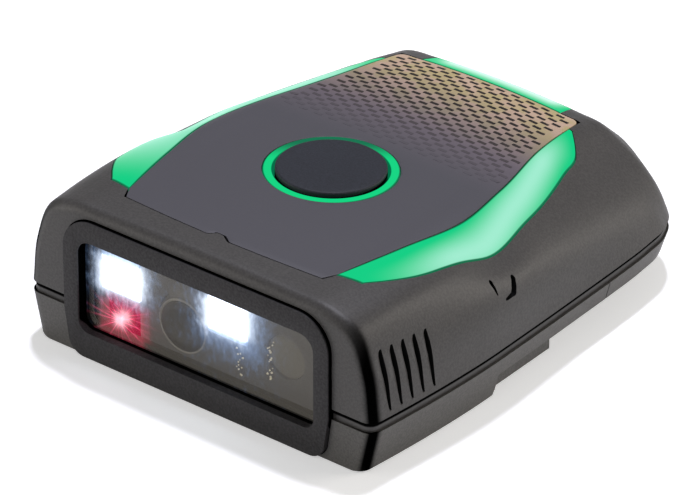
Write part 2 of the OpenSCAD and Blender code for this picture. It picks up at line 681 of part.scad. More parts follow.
module aimer_led() color("#d0102a") at_front(AIMER) translate([-1.5, led_board_y - 0.8, -1.5])
    cube([3, 0.8, 3]);

module aimer_lens() color("#ff5060") at_front(AIMER) {
    translate([-aimer_side / 2, chassis_y + 0.4, -aimer_side / 2])
        cube([aimer_side, led_board_y - 0.85 - chassis_y - 0.4, aimer_side]);
    along_y(chassis_y + 0.1, 3.2, 0.4);
}

module camera_barrel() color("#242427") at_front(CAMERA) difference() {
    along_y(chassis_y + 0.2, barrel_d, engine_l - 1.6);
    along_y(chassis_y, barrel_d - 2, 2);
    along_y(chassis_y, barrel_d - 3.4, 20);
}

module camera_lens() color("#39405a") at_front(CAMERA) intersection() {
    along_y(chassis_y, barrel_d - 2 - fit, 2);
    translate([0, chassis_y + 5.4, 0]) sphere(r = 4.4);
}

module image_sensor_board() color(BOARD) at_front(CAMERA) {
    translate([-5, chassis_y + engine_l - 1.4, -4.2]) cube([10, 0.8, 8.4]);
}

module range_optic() color("#c9cfd6") at_front(OPTIC) {
    along_y(chassis_y + 0.3, 5, led_board_y - chassis_y - 0.3);
}

module engine_flex() color("#b5651d") {
    y0 = chassis_y + engine_l - 0.6;
    z0 = CAMERA[1] - 3;
    z1 = board_top + 0.5;
    translate([CAMERA[0] - 3, y0, z0]) cube([6, 0.2, z1 - z0]);
    translate([CAMERA[0] - 3, y0, z1 - 0.2]) cube([6, connector_y - 0.05 - y0, 0.2]);
}

// Board and what is on it

board_front = chassis_y + engine_l + 3.9;
board_end = body_l - 8.2;
connector_y = board_front + 0.4;
tongue_w = rear_foot_w + 3;                 // the board reaches under the rear guide
BOARD_XY = [[side_x - 8.8, board_front], [side_x - 8.8, board_front + 1.4], [side_x - 5.6, board_front + 2.4],
    [side_x - 5.6, POSTS[1][1] - 1], [side_x - 9, board_end - 8], [side_x - 10, board_end],
    [tongue_w / 2, board_end], [tongue_w / 2, panel_end + rear_foot_l + 0.6]];
module main_board() color(BOARD) difference() {
    translate([0, 0, board_z]) linear_extrude(board_t)
        polygon(concat(BOARD_XY, [for (i = [len(BOARD_XY) - 1:-1:0]) [-BOARD_XY[i][0], BOARD_XY[i][1]]]));
    each_post() translate([0, 0, board_z - 1]) cylinder(d = pilot_d + 0.2, h = 4);
}
board_top = board_z + board_t;
module on_board(x, y) translate([x, y, board_top]) children();
shield = [16, 10, 1.8];
motor_d = 6;
chip = 6;
module shield_can() color(METAL) on_board(-shield[0] / 2, board_end - shield[1] - 6.5) cube(shield);
module processor() color(BLACK) on_board(POSTS[0][0] - pad_r - 0.4 - chip, button_y + 1.4) cube([chip, chip, 0.9]);
module antenna() color("#e6e0cf") on_board(-4.5, board_end - 4.6) cube([9, 2.6, 1.2]);
module board_connector() color("#efe9d8") on_board(CAMERA[0] - 4, connector_y) cube([8, 1.8, 1]);
module status_leds() color("#eafff2") {
    for (k = [-1, 1]) for (y = FOOT_Y) on_board(k * foot_x(y) - 0.8, y - 0.8) cube([1.6, 1.6, lamp_h]);
    on_board(-rear_foot_w / 2 + 0.4, panel_end + seam) cube([rear_foot_w - 0.8, rear_foot_l, lamp_h]);
    for (a = [-45, 45, 180]) on_board(5.2 * cos(a) - 0.5, button_y + 5.2 * sin(a) - 0.5) cube([1, 1, lamp_h]);
}
buzzer_d = 8;
module buzzer() color(BLACK) on_board(pad_r + 0.4 + buzzer_d / 2 - POSTS[0][0], POSTS[0][1] + 2.5) difference() {
    cylinder(d = buzzer_d, h = 2.4);
    translate([0, 0, 1.6]) cylinder(d = 1.4, h = 2);
}
module vibration_motor() color(METAL) on_board(side_x - 10.9 - motor_d / 2, board_end - 0.6 - motor_d / 2) cylinder(d = motor_d, h = 2);

module battery_cell() color("#9ea3a8") translate([-cell_w / 2, cell_y, cell_floor + foam_t])
    cube([cell_w, cell_l, cell_t]);
module cell_foam() color("#2b2b2e") translate([-cell_w / 2 + 2, cell_y + 2, cell_floor])
    cube([cell_w - 4, cell_l - 4, foam_t]);

module charge_contacts() color(BRASS) contact_places() {
    translate([0, 0, 0.3]) cylinder(d = pin_d, h = cell_floor - 0.3 - 0.2);
}

module housing_screws() color(METAL) for (s = SCREWS) for (k = [-1, 1])
    translate([k * s[0], s[1], screw_base(s[1])]) {
        cylinder(d = head_d, h = head_h);
        cylinder(d = screw_d, h = parting_z + insert_l - screw_base(s[1]));
    }

module screw_inserts() color(BRASS) each_screw() translate([0, 0, parting_z + 0.1]) difference() {
    cylinder(d = insert_d - 0.02, h = insert_l);
    translate([0, 0, -1]) cylinder(d = screw_d + 0.02, h = insert_l + 2);
}

module board_screws() color(METAL) each_post() translate([0, 0, board_top]) {
    cylinder(r = pad_r, h = 0.8);
    translate([0, 0, -2.6]) cylinder(d = pilot_d, h = 2.7);
}

module place() translate([0, -shift_y, 0]) children();

place() top_housing();
place() bottom_housing();
place() rear_cover();
place() parting_seal();
place() cradle_rail();
place() front_bezel();
place() scan_window();
place() window_gasket();
place() top_panel();
place() light_guide_left();
place() light_guide_right();
place() light_guide_rear();
place() button_light_ring();
place() trigger_button();
place() trigger_switch();
place() engine_chassis();
place() illumination_board();
place() illumination_leds();
place() illumination_lenses();
place() aimer_led();
place() aimer_lens();
place() camera_barrel();
place() camera_lens();
place() image_sensor_board();
place() range_optic();
place() engine_flex();
place() main_board();
place() shield_can();
place() processor();
place() antenna();
place() board_connector();
place() status_leds();
place() buzzer();
place() vibration_motor();
place() battery_cell();
place() cell_foam();
place() charge_contacts();
place() rail_screws();
place() housing_screws();
place() screw_inserts();
place() board_screws();
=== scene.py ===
"""Looks of the wearable barcode scanner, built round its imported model.

Sizes are millimetres in the maker's own frame: x across, y back from the front face, z up from
the surface that the scanner stands on. Each finished mesh is moved into the shared frame, in metres.
"""

from __future__ import annotations

import logging
import math
from dataclasses import dataclass, field
from enum import Enum
from functools import cached_property, reduce
from typing import Iterable, Sequence

import bmesh
import bpy
import numpy as np
from mathutils import Matrix, Vector


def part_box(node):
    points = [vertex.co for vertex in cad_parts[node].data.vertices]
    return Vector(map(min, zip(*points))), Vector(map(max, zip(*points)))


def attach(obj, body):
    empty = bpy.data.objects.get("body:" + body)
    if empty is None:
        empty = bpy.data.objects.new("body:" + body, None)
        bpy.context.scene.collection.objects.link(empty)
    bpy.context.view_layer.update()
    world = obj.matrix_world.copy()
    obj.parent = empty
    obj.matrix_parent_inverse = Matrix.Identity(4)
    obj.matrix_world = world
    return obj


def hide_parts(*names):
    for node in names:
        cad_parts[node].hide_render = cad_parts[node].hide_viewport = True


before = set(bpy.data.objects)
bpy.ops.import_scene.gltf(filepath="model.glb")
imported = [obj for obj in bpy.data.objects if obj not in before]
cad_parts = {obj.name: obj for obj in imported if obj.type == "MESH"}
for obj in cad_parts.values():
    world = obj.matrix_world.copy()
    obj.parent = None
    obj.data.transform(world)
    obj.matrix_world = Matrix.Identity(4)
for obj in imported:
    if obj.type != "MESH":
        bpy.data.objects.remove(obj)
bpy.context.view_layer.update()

LOG = logging.getLogger("scanner")
MM = 0.001
FRONT_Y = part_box("top_housing")[0].y  # the front face of the housings, in the shared frame
FAR = 60.0  # how far cutters reach out past the scanner
ACRYLIC = 1.49  # refractive index

# Outlines of the front, each as arch takes it, and the height of its base over the floor
POCKET, POCKET_Z = (36.5, 17.25, 4.15, 2.1, 0.5, 5.5), -0.01
BEZEL = (36.2, 17.1, 4.0, 2.1, 0.5, 5.5)
BEZEL_DEEP = 0.9
OPENING, OPENING_Z = (33.6, 12.7, 2.0, 1.6), 2.55
APERTURE, APERTURE_Z = (32.3, 11.4, 1.9, 1.4), 3.2

Piece = bpy.types.Object
Material = bpy.types.Material
Grid = tuple[np.ndarray, np.ndarray]  # x and y of plan points


class Body(Enum):
    """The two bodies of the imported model."""

    SCANNER = "scanner"
    BUTTON = "button"


# Colours and nodes


def linear(code: str) -> tuple[float, float, float, float]:
    """Turns an sRGB hex colour into linear light.

    Args:
        code: Six hex digits after a hash sign.

    Returns:
        Linear red, green, blue and an alpha of 1.
    """
    parts = [int(code[i : i + 2], 16) / 255 for i in (1, 3, 5)]
    light = [c / 12.92 if c <= 0.04045 else ((c + 0.055) / 1.055) ** 2.4 for c in parts]
    return light[0], light[1], light[2], 1.0


def add_node(tree: bpy.types.NodeTree, kind: str, inputs: dict | None = None, **settings) -> bpy.types.Node:
    """Adds a node with its settings, values and links.

    Args:
        tree: The tree that gets the node.
        kind: The node's type name.
        inputs: Socket name or index to a value, a hex colour, or an output that is linked there.
        **settings: Attributes of the node itself.

    Returns:
        The new node.
    """
    node = tree.nodes.new(kind)
    for name, value in settings.items():
        setattr(node, name, value)
    for name, value in (inputs or {}).items():
        socket = node.inputs[name]
        value = value.socket if isinstance(value, Value) else value
        if isinstance(value, bpy.types.NodeSocket):
            tree.links.new(value, socket)
            continue
        if isinstance(value, str) and value.startswith("#"):
            value = linear(value)
        socket.default_value = tuple(value)[:3] if socket.type == "VECTOR" else value
    return node


class Value:
    """The output of a shader node. Each sum or product with it adds a math node."""

    def __init__(self, graph: Graph, socket: bpy.types.NodeSocket) -> None:
        """Keeps the output and the graph that it belongs to."""
        self.graph, self.socket = graph, socket

    def math(self, what: str, other: Value | float = 0.0, first: bool = True) -> Value:
        """Adds one math node.

        Args:
            what: The operation's name.
            other: The second value.
            first: Whether this value comes first and the other one second.

        Returns:
            The result.
        """
        pair = (self, other) if first else (other, self)
        return self.graph.add("Math", dict(enumerate(pair)), operation=what)

    def __add__(self, other: Value | float) -> Value:
        """Returns the sum."""
        return self.math("ADD", other)

    def __sub__(self, other: Value | float) -> Value:
        """Returns this value less the other."""
        return self.math("SUBTRACT", other)

    def __rsub__(self, other: float) -> Value:
        """Returns the other value less this one."""
        return self.math("SUBTRACT", other, False)

    def __mul__(self, other: Value | float) -> Value:
        """Returns the product."""
        return self.math("MULTIPLY", other)

    def __pow__(self, other: Value | float) -> Value:
        """Returns this value raised to the other."""
        return self.math("POWER", other)

    def __rpow__(self, other: float) -> Value:
        """Returns the other value raised to this one."""
        return self.math("POWER", other, False)

    def __abs__(self) -> Value:
        """Returns the value without its sign."""
        return self.math("ABSOLUTE")

    def peak(self, other: Value | float) -> Value:
        """Returns the greater of the two."""
        return self.math("MAXIMUM", other)

    def span(self, low: float, high: float) -> Value:
        """Returns 0 at low and 1 at high, with a smooth rise between them. High may be the lesser one."""
        flip = low > high
        ends = {"Value": self, "From Min": min(low, high), "From Max": max(low, high),
                "To Min": float(flip), "To Max": float(not flip)}
        return self.graph.add("MapRange", ends, "Result", interpolation_type="SMOOTHSTEP")


class Graph:
    """The node tree of a finish or of the world, with short ways to add what they need."""

    def __init__(self, name: str, world: bool = False) -> None:
        """Makes an empty material, or an empty world, with this name."""
        self.owner = (bpy.data.worlds if world else bpy.data.materials).new(name)
        self.owner.use_nodes = True
        self.tree = self.owner.node_tree
        self.tree.nodes.clear()
        self.end = "ShaderNodeOutputWorld" if world else "ShaderNodeOutputMaterial"

    def add(self, kind: str, inputs: dict | None = None, out: int | str = 0, **settings) -> Value:
        """Adds a shader node.

        Args:
            kind: The node's type name after "ShaderNode".
            inputs: As for add_node.
            out: Name or index of the output that is wanted.
            **settings: Attributes of the node itself.

        Returns:
            That output.
        """
        return Value(self, add_node(self.tree, "ShaderNode" + kind, inputs, **settings).outputs[out])

    @cached_property
    def coords(self) -> Value:
        """The place on the piece in the shared frame."""
        return self.add("TexCoord", out="Object")

    @cached_property
    def place(self) -> tuple[Value, ...]:
        """The place on the scanner in the maker's frame: x, y and z in millimetres."""
        return self.split(self.add("Mapping", {"Vector": self.coords, "Location": (0.0, -FRONT_Y / MM, 0.0),
                                               "Scale": (1 / MM,) * 3}))

    def split(self, vector: Value) -> tuple[Value, ...]:
        """Returns the three parts of a vector."""
        parts = add_node(self.tree, "ShaderNodeSeparateXYZ", {0: vector}).outputs
        return tuple(Value(self, part) for part in parts)

    def noise(self, size: float, detail: float = 2.0, rough: float = 0.5, upright: float = 1.0) -> Value:
        """Adds a noise.

        Args:
            size: Width of one grain in mm.
            detail: How many finer layers it has.
            rough: How strong they are.
            upright: How fast it changes with the height, as a share.

        Returns:
            Values round 0.5.
        """
        where = self.coords
        if upright != 1.0:
            where = self.add("Mapping", {"Vector": where, "Scale": (1.0, 1.0, upright)})
        return self.add("TexNoise", {"Vector": where, "Scale": 1 / (size * MM), "Detail": detail, "Roughness": rough})

    def rays(self, *kinds: str) -> Value:
        """Returns 1 where a ray is of one of these kinds, and otherwise 0."""
        return reduce(Value.peak, [self.add("LightPath", out=kind) for kind in kinds])

    def mix(self, share: Value | float, first: Value | str, second: Value | str) -> Value:
        """Mixes two colours, where share says how much of the second there is."""
        return self.add("Mix", {0: share, 6: first, 7: second}, 2, data_type="RGBA")

    def scaled(self, colour: Value | str, by: Value) -> Value:
        """Makes a colour brighter or darker."""
        return self.add("VectorMath", {0: colour, "Scale": by}, operation="SCALE")

    def bump(self, height: Value, depth: float, strength: float) -> Value:
        """Turns a height into a lean of the surface, where depth is the full height in mm."""
        return self.add("Bump", {"Height": height, "Distance": depth * MM, "Strength": strength})

    def close(self, shader: Value) -> Material:
        """Links a shader to the output and returns the material or world."""
        add_node(self.tree, self.end, {"Surface": shader})
        return self.owner

    def principled(self, base: Value | str, rough: Value | float, gloss: Value | float = 0.5, ior: float = 1.5,
                   shine: tuple = ("#ffffff", 0.0), **more: Value | float) -> Value:
        """Adds a Principled shader.

        Args:
            base: Its colour.
            rough: Its roughness.
            gloss: Strength of the surface reflection.
            ior: Refractive index.
            shine: Colour and strength of its own light.
            **more: Further inputs that have one word for a name.

        Returns:
            The shader.
        """
        return self.add("BsdfPrincipled", {
            "Base Color": base, "Roughness": rough, "Specular IOR Level": gloss, "IOR": ior,
            "Emission Color": shine[0], "Emission Strength": shine[1], **more})

    def lit_acrylic(self, colour: Value, strength: float) -> Material:
        """Closes the tree as frosted acrylic, which hardly reflects and shines in this colour."""
        return self.close(self.principled("#00140c", 0.45, 0.08, ACRYLIC, (colour, strength)))


# Finishes


@dataclass(frozen=True)
class MouldedPlastic:
    """A plastic or rubber moulded in a spark-eroded tool, which leaves an even fine grain."""

    name: str
    colour: str
    roughness: float = 0.5
    grain: float = 0.3  # width of one grain in mm
    depth: float = 0.004  # height of the grain in mm
    mottle: float = 0.06  # how far the tone wanders
    gloss: float = 0.5  # strength of the surface reflection
    corner_reflection_tone: str = ""  # painted dark reflection on the front corner's fillet, where there is one
    shadow_lines: tuple[tuple[float, float], ...] = ()  # height and half width of painted shadow bands, where shade falls into a gap or under an overhang
    shade: tuple[float, ...] = ()  # from and to which y it is painted black as shade, where it lies in a gap
    glow: float = 0.0  # painted lamp light: how brightly the piece shines in its own colour, for the light of the lamps beside it

    def material(self) -> Material:
        """Returns the finish as a material."""
        graph = Graph(self.name)
        fine = graph.noise(self.grain, rough=0.6)
        value = fine.span(0.3, 0.7) * (2 * self.mottle) + graph.noise(9.0, 3.0) * self.mottle
        dark: list[tuple[Value, str]] = []
        if self.corner_reflection_tone:
            x, y, _ = graph.place
            # the fillet of the front corner is painted dark, as a reflection of a dark part of the room
            dark.append((y.span(0.0, 0.3) * y.span(1.8, 0.9) * abs(x).span(18.5, 22.3), self.corner_reflection_tone))
        # painted shadow: a black band at each given height
        for line, half in self.shadow_lines:
            dark.append((abs(graph.place[2] - line).span(half + 0.2, half), "#060606"))
        if self.shade:
            _, y, z = graph.place
            # low down, on the sill of the window, the shade begins further in
            dark.append(((y - z.span(4.6, 3.4) * 0.7).span(*self.shade), "#020202"))
        base, gloss = self.colour, self.gloss
        for share, tone in dark:
            base, gloss = graph.mix(share, base, tone), (1.0 - share) * gloss
        base = graph.scaled(base, value + (1 - 1.5 * self.mottle))
        # painted lamp light: the piece shines in its own colour
        return graph.close(graph.principled(base, self.roughness, gloss, shine=(self.colour, self.glow),
                                            Normal=graph.bump(fine, self.depth, 0.7)))


@dataclass(frozen=True)
class PlainMetal:
    """Plated or drawn metal of a small part, with faint drawing marks."""

    name: str
    colour: str
    roughness: float = 0.3

    def material(self) -> Material:
        """Returns the finish as a material."""
        graph = Graph(self.name)
        rough = graph.noise(0.3, 3.0) * 0.2 + (self.roughness - 0.1)
        return graph.close(graph.principled(self.colour, rough, Metallic=1.0))


@dataclass(frozen=True)
class PrintedFilm:
    """Satin film moulded into the top panel: bluish grey, with a bronze ground printed at the rear."""

    name: str = "printed satin polycarbonate film"
    plain: str = "#4e4d53"
    mauve: str = "#6a6068"  # between the plain part and the bronze
    bronze: str = "#c6aa92"
    olive: str = "#baa97a"
    dash: str = "#1c140d"
    fade_start: float = 32.0  # y where the bronze begins
    fade_end: float = 50.0  # y where it is full

    def ground(self, graph: Graph) -> Value:
        """Returns the printed ground's colour, which wanders between bronze and olive as coarse print does."""
        y = graph.place[1]
        tone = graph.mix(graph.noise(2.2).span(0.4, 0.62), self.bronze, self.olive)
        start = graph.mix(y.span(self.fade_start - 3.0, self.fade_end - 10.0), self.plain, self.mauve)
        return graph.mix(y.span(self.fade_start + 4.0, self.fade_end), start, tone)

    def panel(self) -> Material:
        """Returns the film itself as a material."""
        graph = Graph(self.name)
        fine = graph.noise(0.16)
        colour = graph.scaled(self.ground(graph), fine * 0.2 + 0.9)
        return graph.close(graph.principled(colour, 0.5, 0.4, Normal=graph.bump(fine, 0.008, 0.5)))

    def ink(self) -> Material:
        """Returns the dark ink of the dashes as a material. It fades out with the ground."""
        graph = Graph("dark printing ink")
        full = graph.place[1].span(self.fade_start - 2.0, self.fade_end - 8.0)
        return graph.close(graph.principled(graph.mix(full, self.ground(graph), self.dash), 0.5, 0.4))


@dataclass(frozen=True)
class LitGuide:
    """Frosted acrylic lit from lamps below: pale where a lamp stands, deep green at its ends."""

    name: str
    deep: str = "#00d084"
    pale: str = "#a3efd2"
    rim: str = "#04704a"  # the cut edge, where the light leaves sideways
    strength: float = 0.97
    spread: float = 0.72  # how wide the light spreads from the ridge, as a share of the width
    cross: bool = False  # whether the guide lies across, with its ends to the left and right

    def material(self) -> Material:
        """Returns the finish as a material. It reads how far along and across a point lies."""
        graph = Graph(self.name)
        along, across, _ = graph.split(graph.add("UVMap", uv_map="along_across"))
        if self.cross:
            near = along.span(0.0, 0.8)
            ends = across.span(0.0, 0.16) * across.span(1.0, 0.86)
            rim = along.span(0.07, 0.0)
        else:
            # the bright ridge runs from the outer edge in front to the inner edge at the rear
            near = abs(across - (along * -0.95 + 1.1)).span(self.spread, 0.0)
            ends = along.span(0.02, 0.3) * along.span(0.99, 0.8)
            rim = across.span(0.045, 0.015).peak(across.span(0.955, 0.985)).peak(along.span(0.008, 0.002))
        colour = graph.mix(near * ends, self.deep, self.pale)
        return graph.lit_acrylic(graph.mix(rim, colour, self.rim), self.strength)


@dataclass(frozen=True)
class LitRing:
    """Frosted acrylic ring lit from below: bright on its near side, dim behind the button."""

    inner: float
    outer: float
    middle: float  # y of the button's axis
    name: str = "frosted acrylic light ring"
    near: str = "#06dc86"
    far: str = "#0b7650"
    rim: str = "#04704a"
    strength: float = 0.92
    away: tuple[float, float] = (-0.622, 0.783)  # the way from the bright side to the dim one
    fade: tuple[float, float] = (2.0, 6.2)  # from and to how far that way it turns dim

    def material(self) -> Material:
        """Returns the finish as a material."""
        graph = Graph(self.name)
        x, y, _ = graph.place
        y = y - self.middle
        r = (x * x + y * y).math("SQRT")
        colour = graph.mix((y * self.away[1] + x * self.away[0]).span(*self.fade), self.near, self.far)
        rim = r.span(self.inner + 0.16, self.inner + 0.04).peak(r.span(self.outer - 0.2, self.outer - 0.06))
        return graph.lit_acrylic(graph.mix(rim, colour, self.rim), self.strength)


@dataclass(frozen=True)
class PaintedGlow:
    """Painted light that a lamp throws into the pane in front of it, round a rectangle."""

    x: float
    z: float
    wide: float  # half width of the bright field
    high: float  # half height of the bright field
    fade: float  # how far it fades outside the field
    colour: str
    light: float
    rays: int = 0
    ragged: float = 0.6  # how uneven the edge is

    def light_at(self, x: Value, z: Value, noise: Value) -> Value:
        """Builds the glow.

        Args:
            x: Place across, in mm.
            z: Height, in mm.
            noise: Uneven values round 0.5.

        Returns:
            How bright it is.
        """
        dx, dz = x - self.x, z - self.z
        over_x, over_z = (abs(dx) - self.wide).peak(0.0), (abs(dz) - self.high).peak(0.0)
        off = (over_x * over_x + over_z * over_z).math("SQRT")
        off = (off + off * ((noise - 0.5) * (2 * self.ragged))).peak(0.0)
        fall = math.e ** (off**1.6 * (-1 / self.fade**1.6))
        if self.rays:
            turn = dz.math("ARCTAN2", dx)
            wave, other = ((turn * n).math("COSINE") for n in (self.rays, self.rays * 0.5 + 1))
            fall = fall * ((wave + other) * 0.5).peak(0.0) ** 2.5
        return fall * self.light


@dataclass(frozen=True)
class WindowPane:
    """Tinted acrylic pane. The light round the lamps behind is painted on it, for the light that dust and scratches in
    it catch.
    """

    painted_glows: tuple[PaintedGlow, ...]
    name: str = "smoke tinted acrylic pane"
    tint: str = "#403e3c"
    haze: float = 0.12  # how much of the light the tint takes

    def material(self) -> Material:
        """Returns the finish as a material."""
        graph = Graph(self.name)
        x, _, z = graph.place
        noise = graph.noise(0.55, 3.0, 0.6, upright=0.55)
        total: tuple | Value = (0.0, 0.0, 0.0)
        for glow in self.painted_glows:
            part = graph.scaled(glow.colour, glow.light_at(x, z, noise))
            total = graph.add("VectorMath", {0: total, 1: part}, operation="ADD")
        # the left end is painted black, as shade over the black wall of the window
        clear = graph.add("BsdfTransparent", {"Color": graph.mix(x.span(-16.1, -15.0), "#000000", "#ecebe9")})
        # the haze shines faintly in the tint's colour: painted light
        haze = graph.principled(self.tint, 0.12, 0.3, ACRYLIC, (self.tint, 0.35))
        pane = graph.add("MixShader", {0: self.haze, 1: clear, 2: haze})
        return graph.close(graph.add("AddShader", {0: pane, 1: graph.add("Emission", {"Color": total})}))


@dataclass(frozen=True)
class LampPair:
    """The two white lamp lenses, which share one material, bright round each lamp's own middle."""

    left: tuple[float, float] = (-12.6, 9.6)
    right: tuple[float, float] = (2.1, 10.25)
    wide: float = 2.5  # half width of the burnt-out middle
    high: float = 1.9  # half its height

    def material(self) -> Material:
        """Returns the finish as a material."""
        graph = Graph("white lamp lens")
        x, _, z = graph.place
        side = x.math("GREATER_THAN", (self.left[0] + self.right[0]) / 2)
        mid_x, mid_z = (side * (b - a) + a for a, b in zip(self.left, self.right))
        far = (abs(x - mid_x) * (1 / self.wide)).peak(abs(z - mid_z) * (1 / self.high))
        bright = (far + graph.noise(0.5) * 0.3).span(1.35, 1.0)
        light = graph.mix(bright, "#7f9cc8", "#f8fbff"), bright * 4.0 + 0.35
        return graph.close(graph.principled("#c9d6ea", 0.2, ior=ACRYLIC, shine=light))


# Curves and meshes


def curve_at(values: np.ndarray, places: np.ndarray, at: np.ndarray) -> np.ndarray:
    """Reads a smooth curve through given values.

    Args:
        values: One row of values for each place.
        places: Growing places of the rows.
        at: Places to read.

    Returns:
        One row of values for each place read.
    """
    step = np.diff(places)
    rise = np.diff(values, axis=0) / step[:, None]
    slope = np.empty_like(values)
    slope[0], slope[-1] = rise[0], rise[-1]
    slope[1:-1] = (rise[1:] * step[:-1, None] + rise[:-1] * step[1:, None]) / (step[:-1] + step[1:])[:, None]
    at = np.clip(np.asarray(at, float), places[0], places[-1])
    i = np.clip(np.searchsorted(places, at, side="right") - 1, 0, len(places) - 2)
    h = step[i][:, None]
    u = ((at - places[i]) / step[i])[:, None]
    return ((2 * u**3 - 3 * u**2 + 1) * values[i] + (u**3 - 2 * u**2 + u) * h * slope[i]
            + (3 * u**2 - 2 * u**3) * values[i + 1] + (u**3 - u**2) * h * slope[i + 1])


def unit_rows(rows: np.ndarray) -> np.ndarray:
    """Returns the rows, each scaled to a length of one."""
    return rows / np.linalg.norm(rows, axis=1)[:, None]


@dataclass(frozen=True)
class Skin:
    """The outer form of the upper housing: sections along the length, each a smooth curve."""

    width: float = 50.0
    length: float = 58.2
    crown: float = 12.3
    parting: float = 6.5
    front_edge: float = 1.3
    rear_edge: float = 0.8
    # place along the length, half width, crease x and z, shoulder x and z, panel edge x and z, crown
    form: tuple[tuple[float, ...], ...] = (
        (0.000, 0.940, 0.910, 0.460, 0.825, 0.845, 0.690, 0.955, 0.985),
        (0.105, 0.968, 0.928, 0.500, 0.840, 0.855, 0.690, 0.960, 1.000),
        (0.205, 0.988, 0.944, 0.550, 0.852, 0.840, 0.690, 0.955, 1.000),
        (0.310, 1.000, 0.956, 0.580, 0.856, 0.800, 0.690, 0.945, 0.985),
        (0.410, 1.000, 0.958, 0.544, 0.827, 0.725, 0.685, 0.928, 0.960),
        (0.515, 0.998, 0.954, 0.475, 0.805, 0.732, 0.660, 0.899, 0.935),
        (0.615, 0.994, 0.949, 0.384, 0.750, 0.717, 0.609, 0.870, 0.910),
        (0.720, 0.989, 0.939, 0.291, 0.698, 0.692, 0.580, 0.833, 0.889),
        (0.820, 0.977, 0.923, 0.230, 0.646, 0.656, 0.539, 0.788, 0.853),
        (0.885, 0.953, 0.896, 0.208, 0.624, 0.616, 0.523, 0.737, 0.797),
        (0.935, 0.885, 0.837, 0.184, 0.601, 0.566, 0.527, 0.634, 0.688),
        (0.972, 0.761, 0.707, 0.089, 0.525, 0.428, 0.440, 0.449, 0.471),
        (1.000, 0.528, 0.495, 0.012, 0.371, 0.110, 0.334, 0.111, 0.123),
    )
    steps: tuple[int, ...] = (8, 14, 12, 6, 6, 5)  # facets between the knots of a half section

    def row(self, y: float) -> np.ndarray:
        """Returns the eight shares of the section at y."""
        table = np.array(self.form)
        return curve_at(table[:, 1:], table[:, 0], np.array([y / self.length]))[0]

    def half(self, y: float) -> np.ndarray:
        """Builds the right half of the section at y, from the parting to the crown.

        Args:
            y: Distance from the front face.

        Returns:
            Rows of x and height over the parting.
        """
        wide, crease_x, crease_z, shoulder_x, shoulder_z, edge_x, edge_z, top = self.row(y)
        near, far = edge_z + 0.5 * (top - edge_z), edge_z + 0.88 * (top - edge_z)
        shares = [[wide, 0], [crease_x, crease_z], [shoulder_x, shoulder_z], [edge_x, edge_z],
                  [0.75 * edge_x, near], [0.38 * edge_x, far], [0, top], [-0.38 * edge_x, far]]
        knots = np.array(shares) * (self.width / 2, self.crown)
        t = np.concatenate([[0], np.cumsum(np.linalg.norm(np.diff(knots, axis=0), axis=1))])
        at = [t[i] + (t[i + 1] - t[i]) * j / n for i, n in enumerate(self.steps) for j in range(n)]
        return curve_at(knots, t, np.array([*at, t[len(self.steps)]]))

    def inner(self, y: float, d: float) -> np.ndarray:
        """Returns the half section at y moved inwards by d along its own normals, and not below the parting."""
        s = self.half(y)
        along = unit_rows(np.gradient(s, axis=0))
        moved = s - d * np.stack([along[:, 1], -along[:, 0]], axis=1)
        moved[0] = (s[0, 0] - d, 0)
        moved[-1] = (0, s[-1, 1] - d)
        moved[moved[:, 1] < 0] = moved[0]
        return moved

    def ring(self, half: np.ndarray, y: float, base: float = 0.0) -> list[tuple[float, float, float]]:
        """Returns the whole section at y of a half one, with its base at this height over the parting."""
        both = [tuple(p) for p in half] + [(-p[0], p[1]) for p in half[-2::-1]]
        return [(x, y, self.parting + (h if h > 0 else base)) for x, h in both]

    def reach(self, y: float, z: float) -> float:
        """Returns how far the skin reaches sideways at y and at height z above the floor."""
        s = self.half(y)
        order = np.argsort(s[:, 1])
        return float(np.interp(z - self.parting, s[order, 1], s[order, 0]))

    def inset(self, y: float) -> float:
        """Returns how far the skin draws in at y to round the front and rear edges."""
        drawn = 0.0
        if y < self.front_edge:
            drawn = self.front_edge - math.sqrt(self.front_edge**2 - (self.front_edge - y) ** 2)
        behind = y - (self.length - self.rear_edge)
        if behind > 0:
            drawn = self.rear_edge - math.sqrt(max(0.0, self.rear_edge**2 - behind**2))
        return drawn

    def places(self) -> list[float]:
        """Returns the places of the sections: close at the front edge and at the rear."""
        front = [self.front_edge * (1 - math.cos(math.radians(a))) for a in range(0, 90, 10)]
        run = list(np.linspace(self.front_edge, 0.84 * self.length, 54))
        tail = list(np.linspace(0.84 * self.length, self.length - self.rear_edge, 26))[1:]
        end = [self.length - self.rear_edge * (1 - math.sin(math.radians(a))) for a in range(15, 91, 15)]
        return front + run + tail + end

    def height(self, x: np.ndarray, y: np.ndarray) -> np.ndarray:
        """Returns the height of the skin over plan points x and y, which have the same shape."""
        out = np.empty(np.shape(x))
        cuts: dict[float, np.ndarray] = {}
        for where in np.ndindex(out.shape):
            at = round(float(y[where]), 5)
            if at not in cuts:
                cuts[at] = self.half(at)[::-1]
            out[where] = self.parting + np.interp(abs(x[where]), cuts[at][:, 0], cuts[at][:, 1])
        return out

    def outline(self, d: float = 0.0) -> list[tuple[float, float]]:
        """Returns the plan outline at the parting, drawn in by d on all sides."""
        right = [(self.row(y)[0] * self.width / 2 - self.inset(y), y) for y in self.places()]
        ring = right + [(-x, y) for x, y in reversed(right)]
        if not d:
            return ring
        pts = np.array(ring)
        one, two = unit_rows(pts - np.roll(pts, 1, 0)), unit_rows(np.roll(pts, -1, 0) - pts)
        n1, n2 = (np.stack([-side[:, 1], side[:, 0]], 1) for side in (one, two))
        mean = unit_rows(n1 + n2)
        reach = d / np.maximum(0.35, (mean * n1).sum(1))
        return [tuple(p) for p in pts + mean * reach[:, None]]


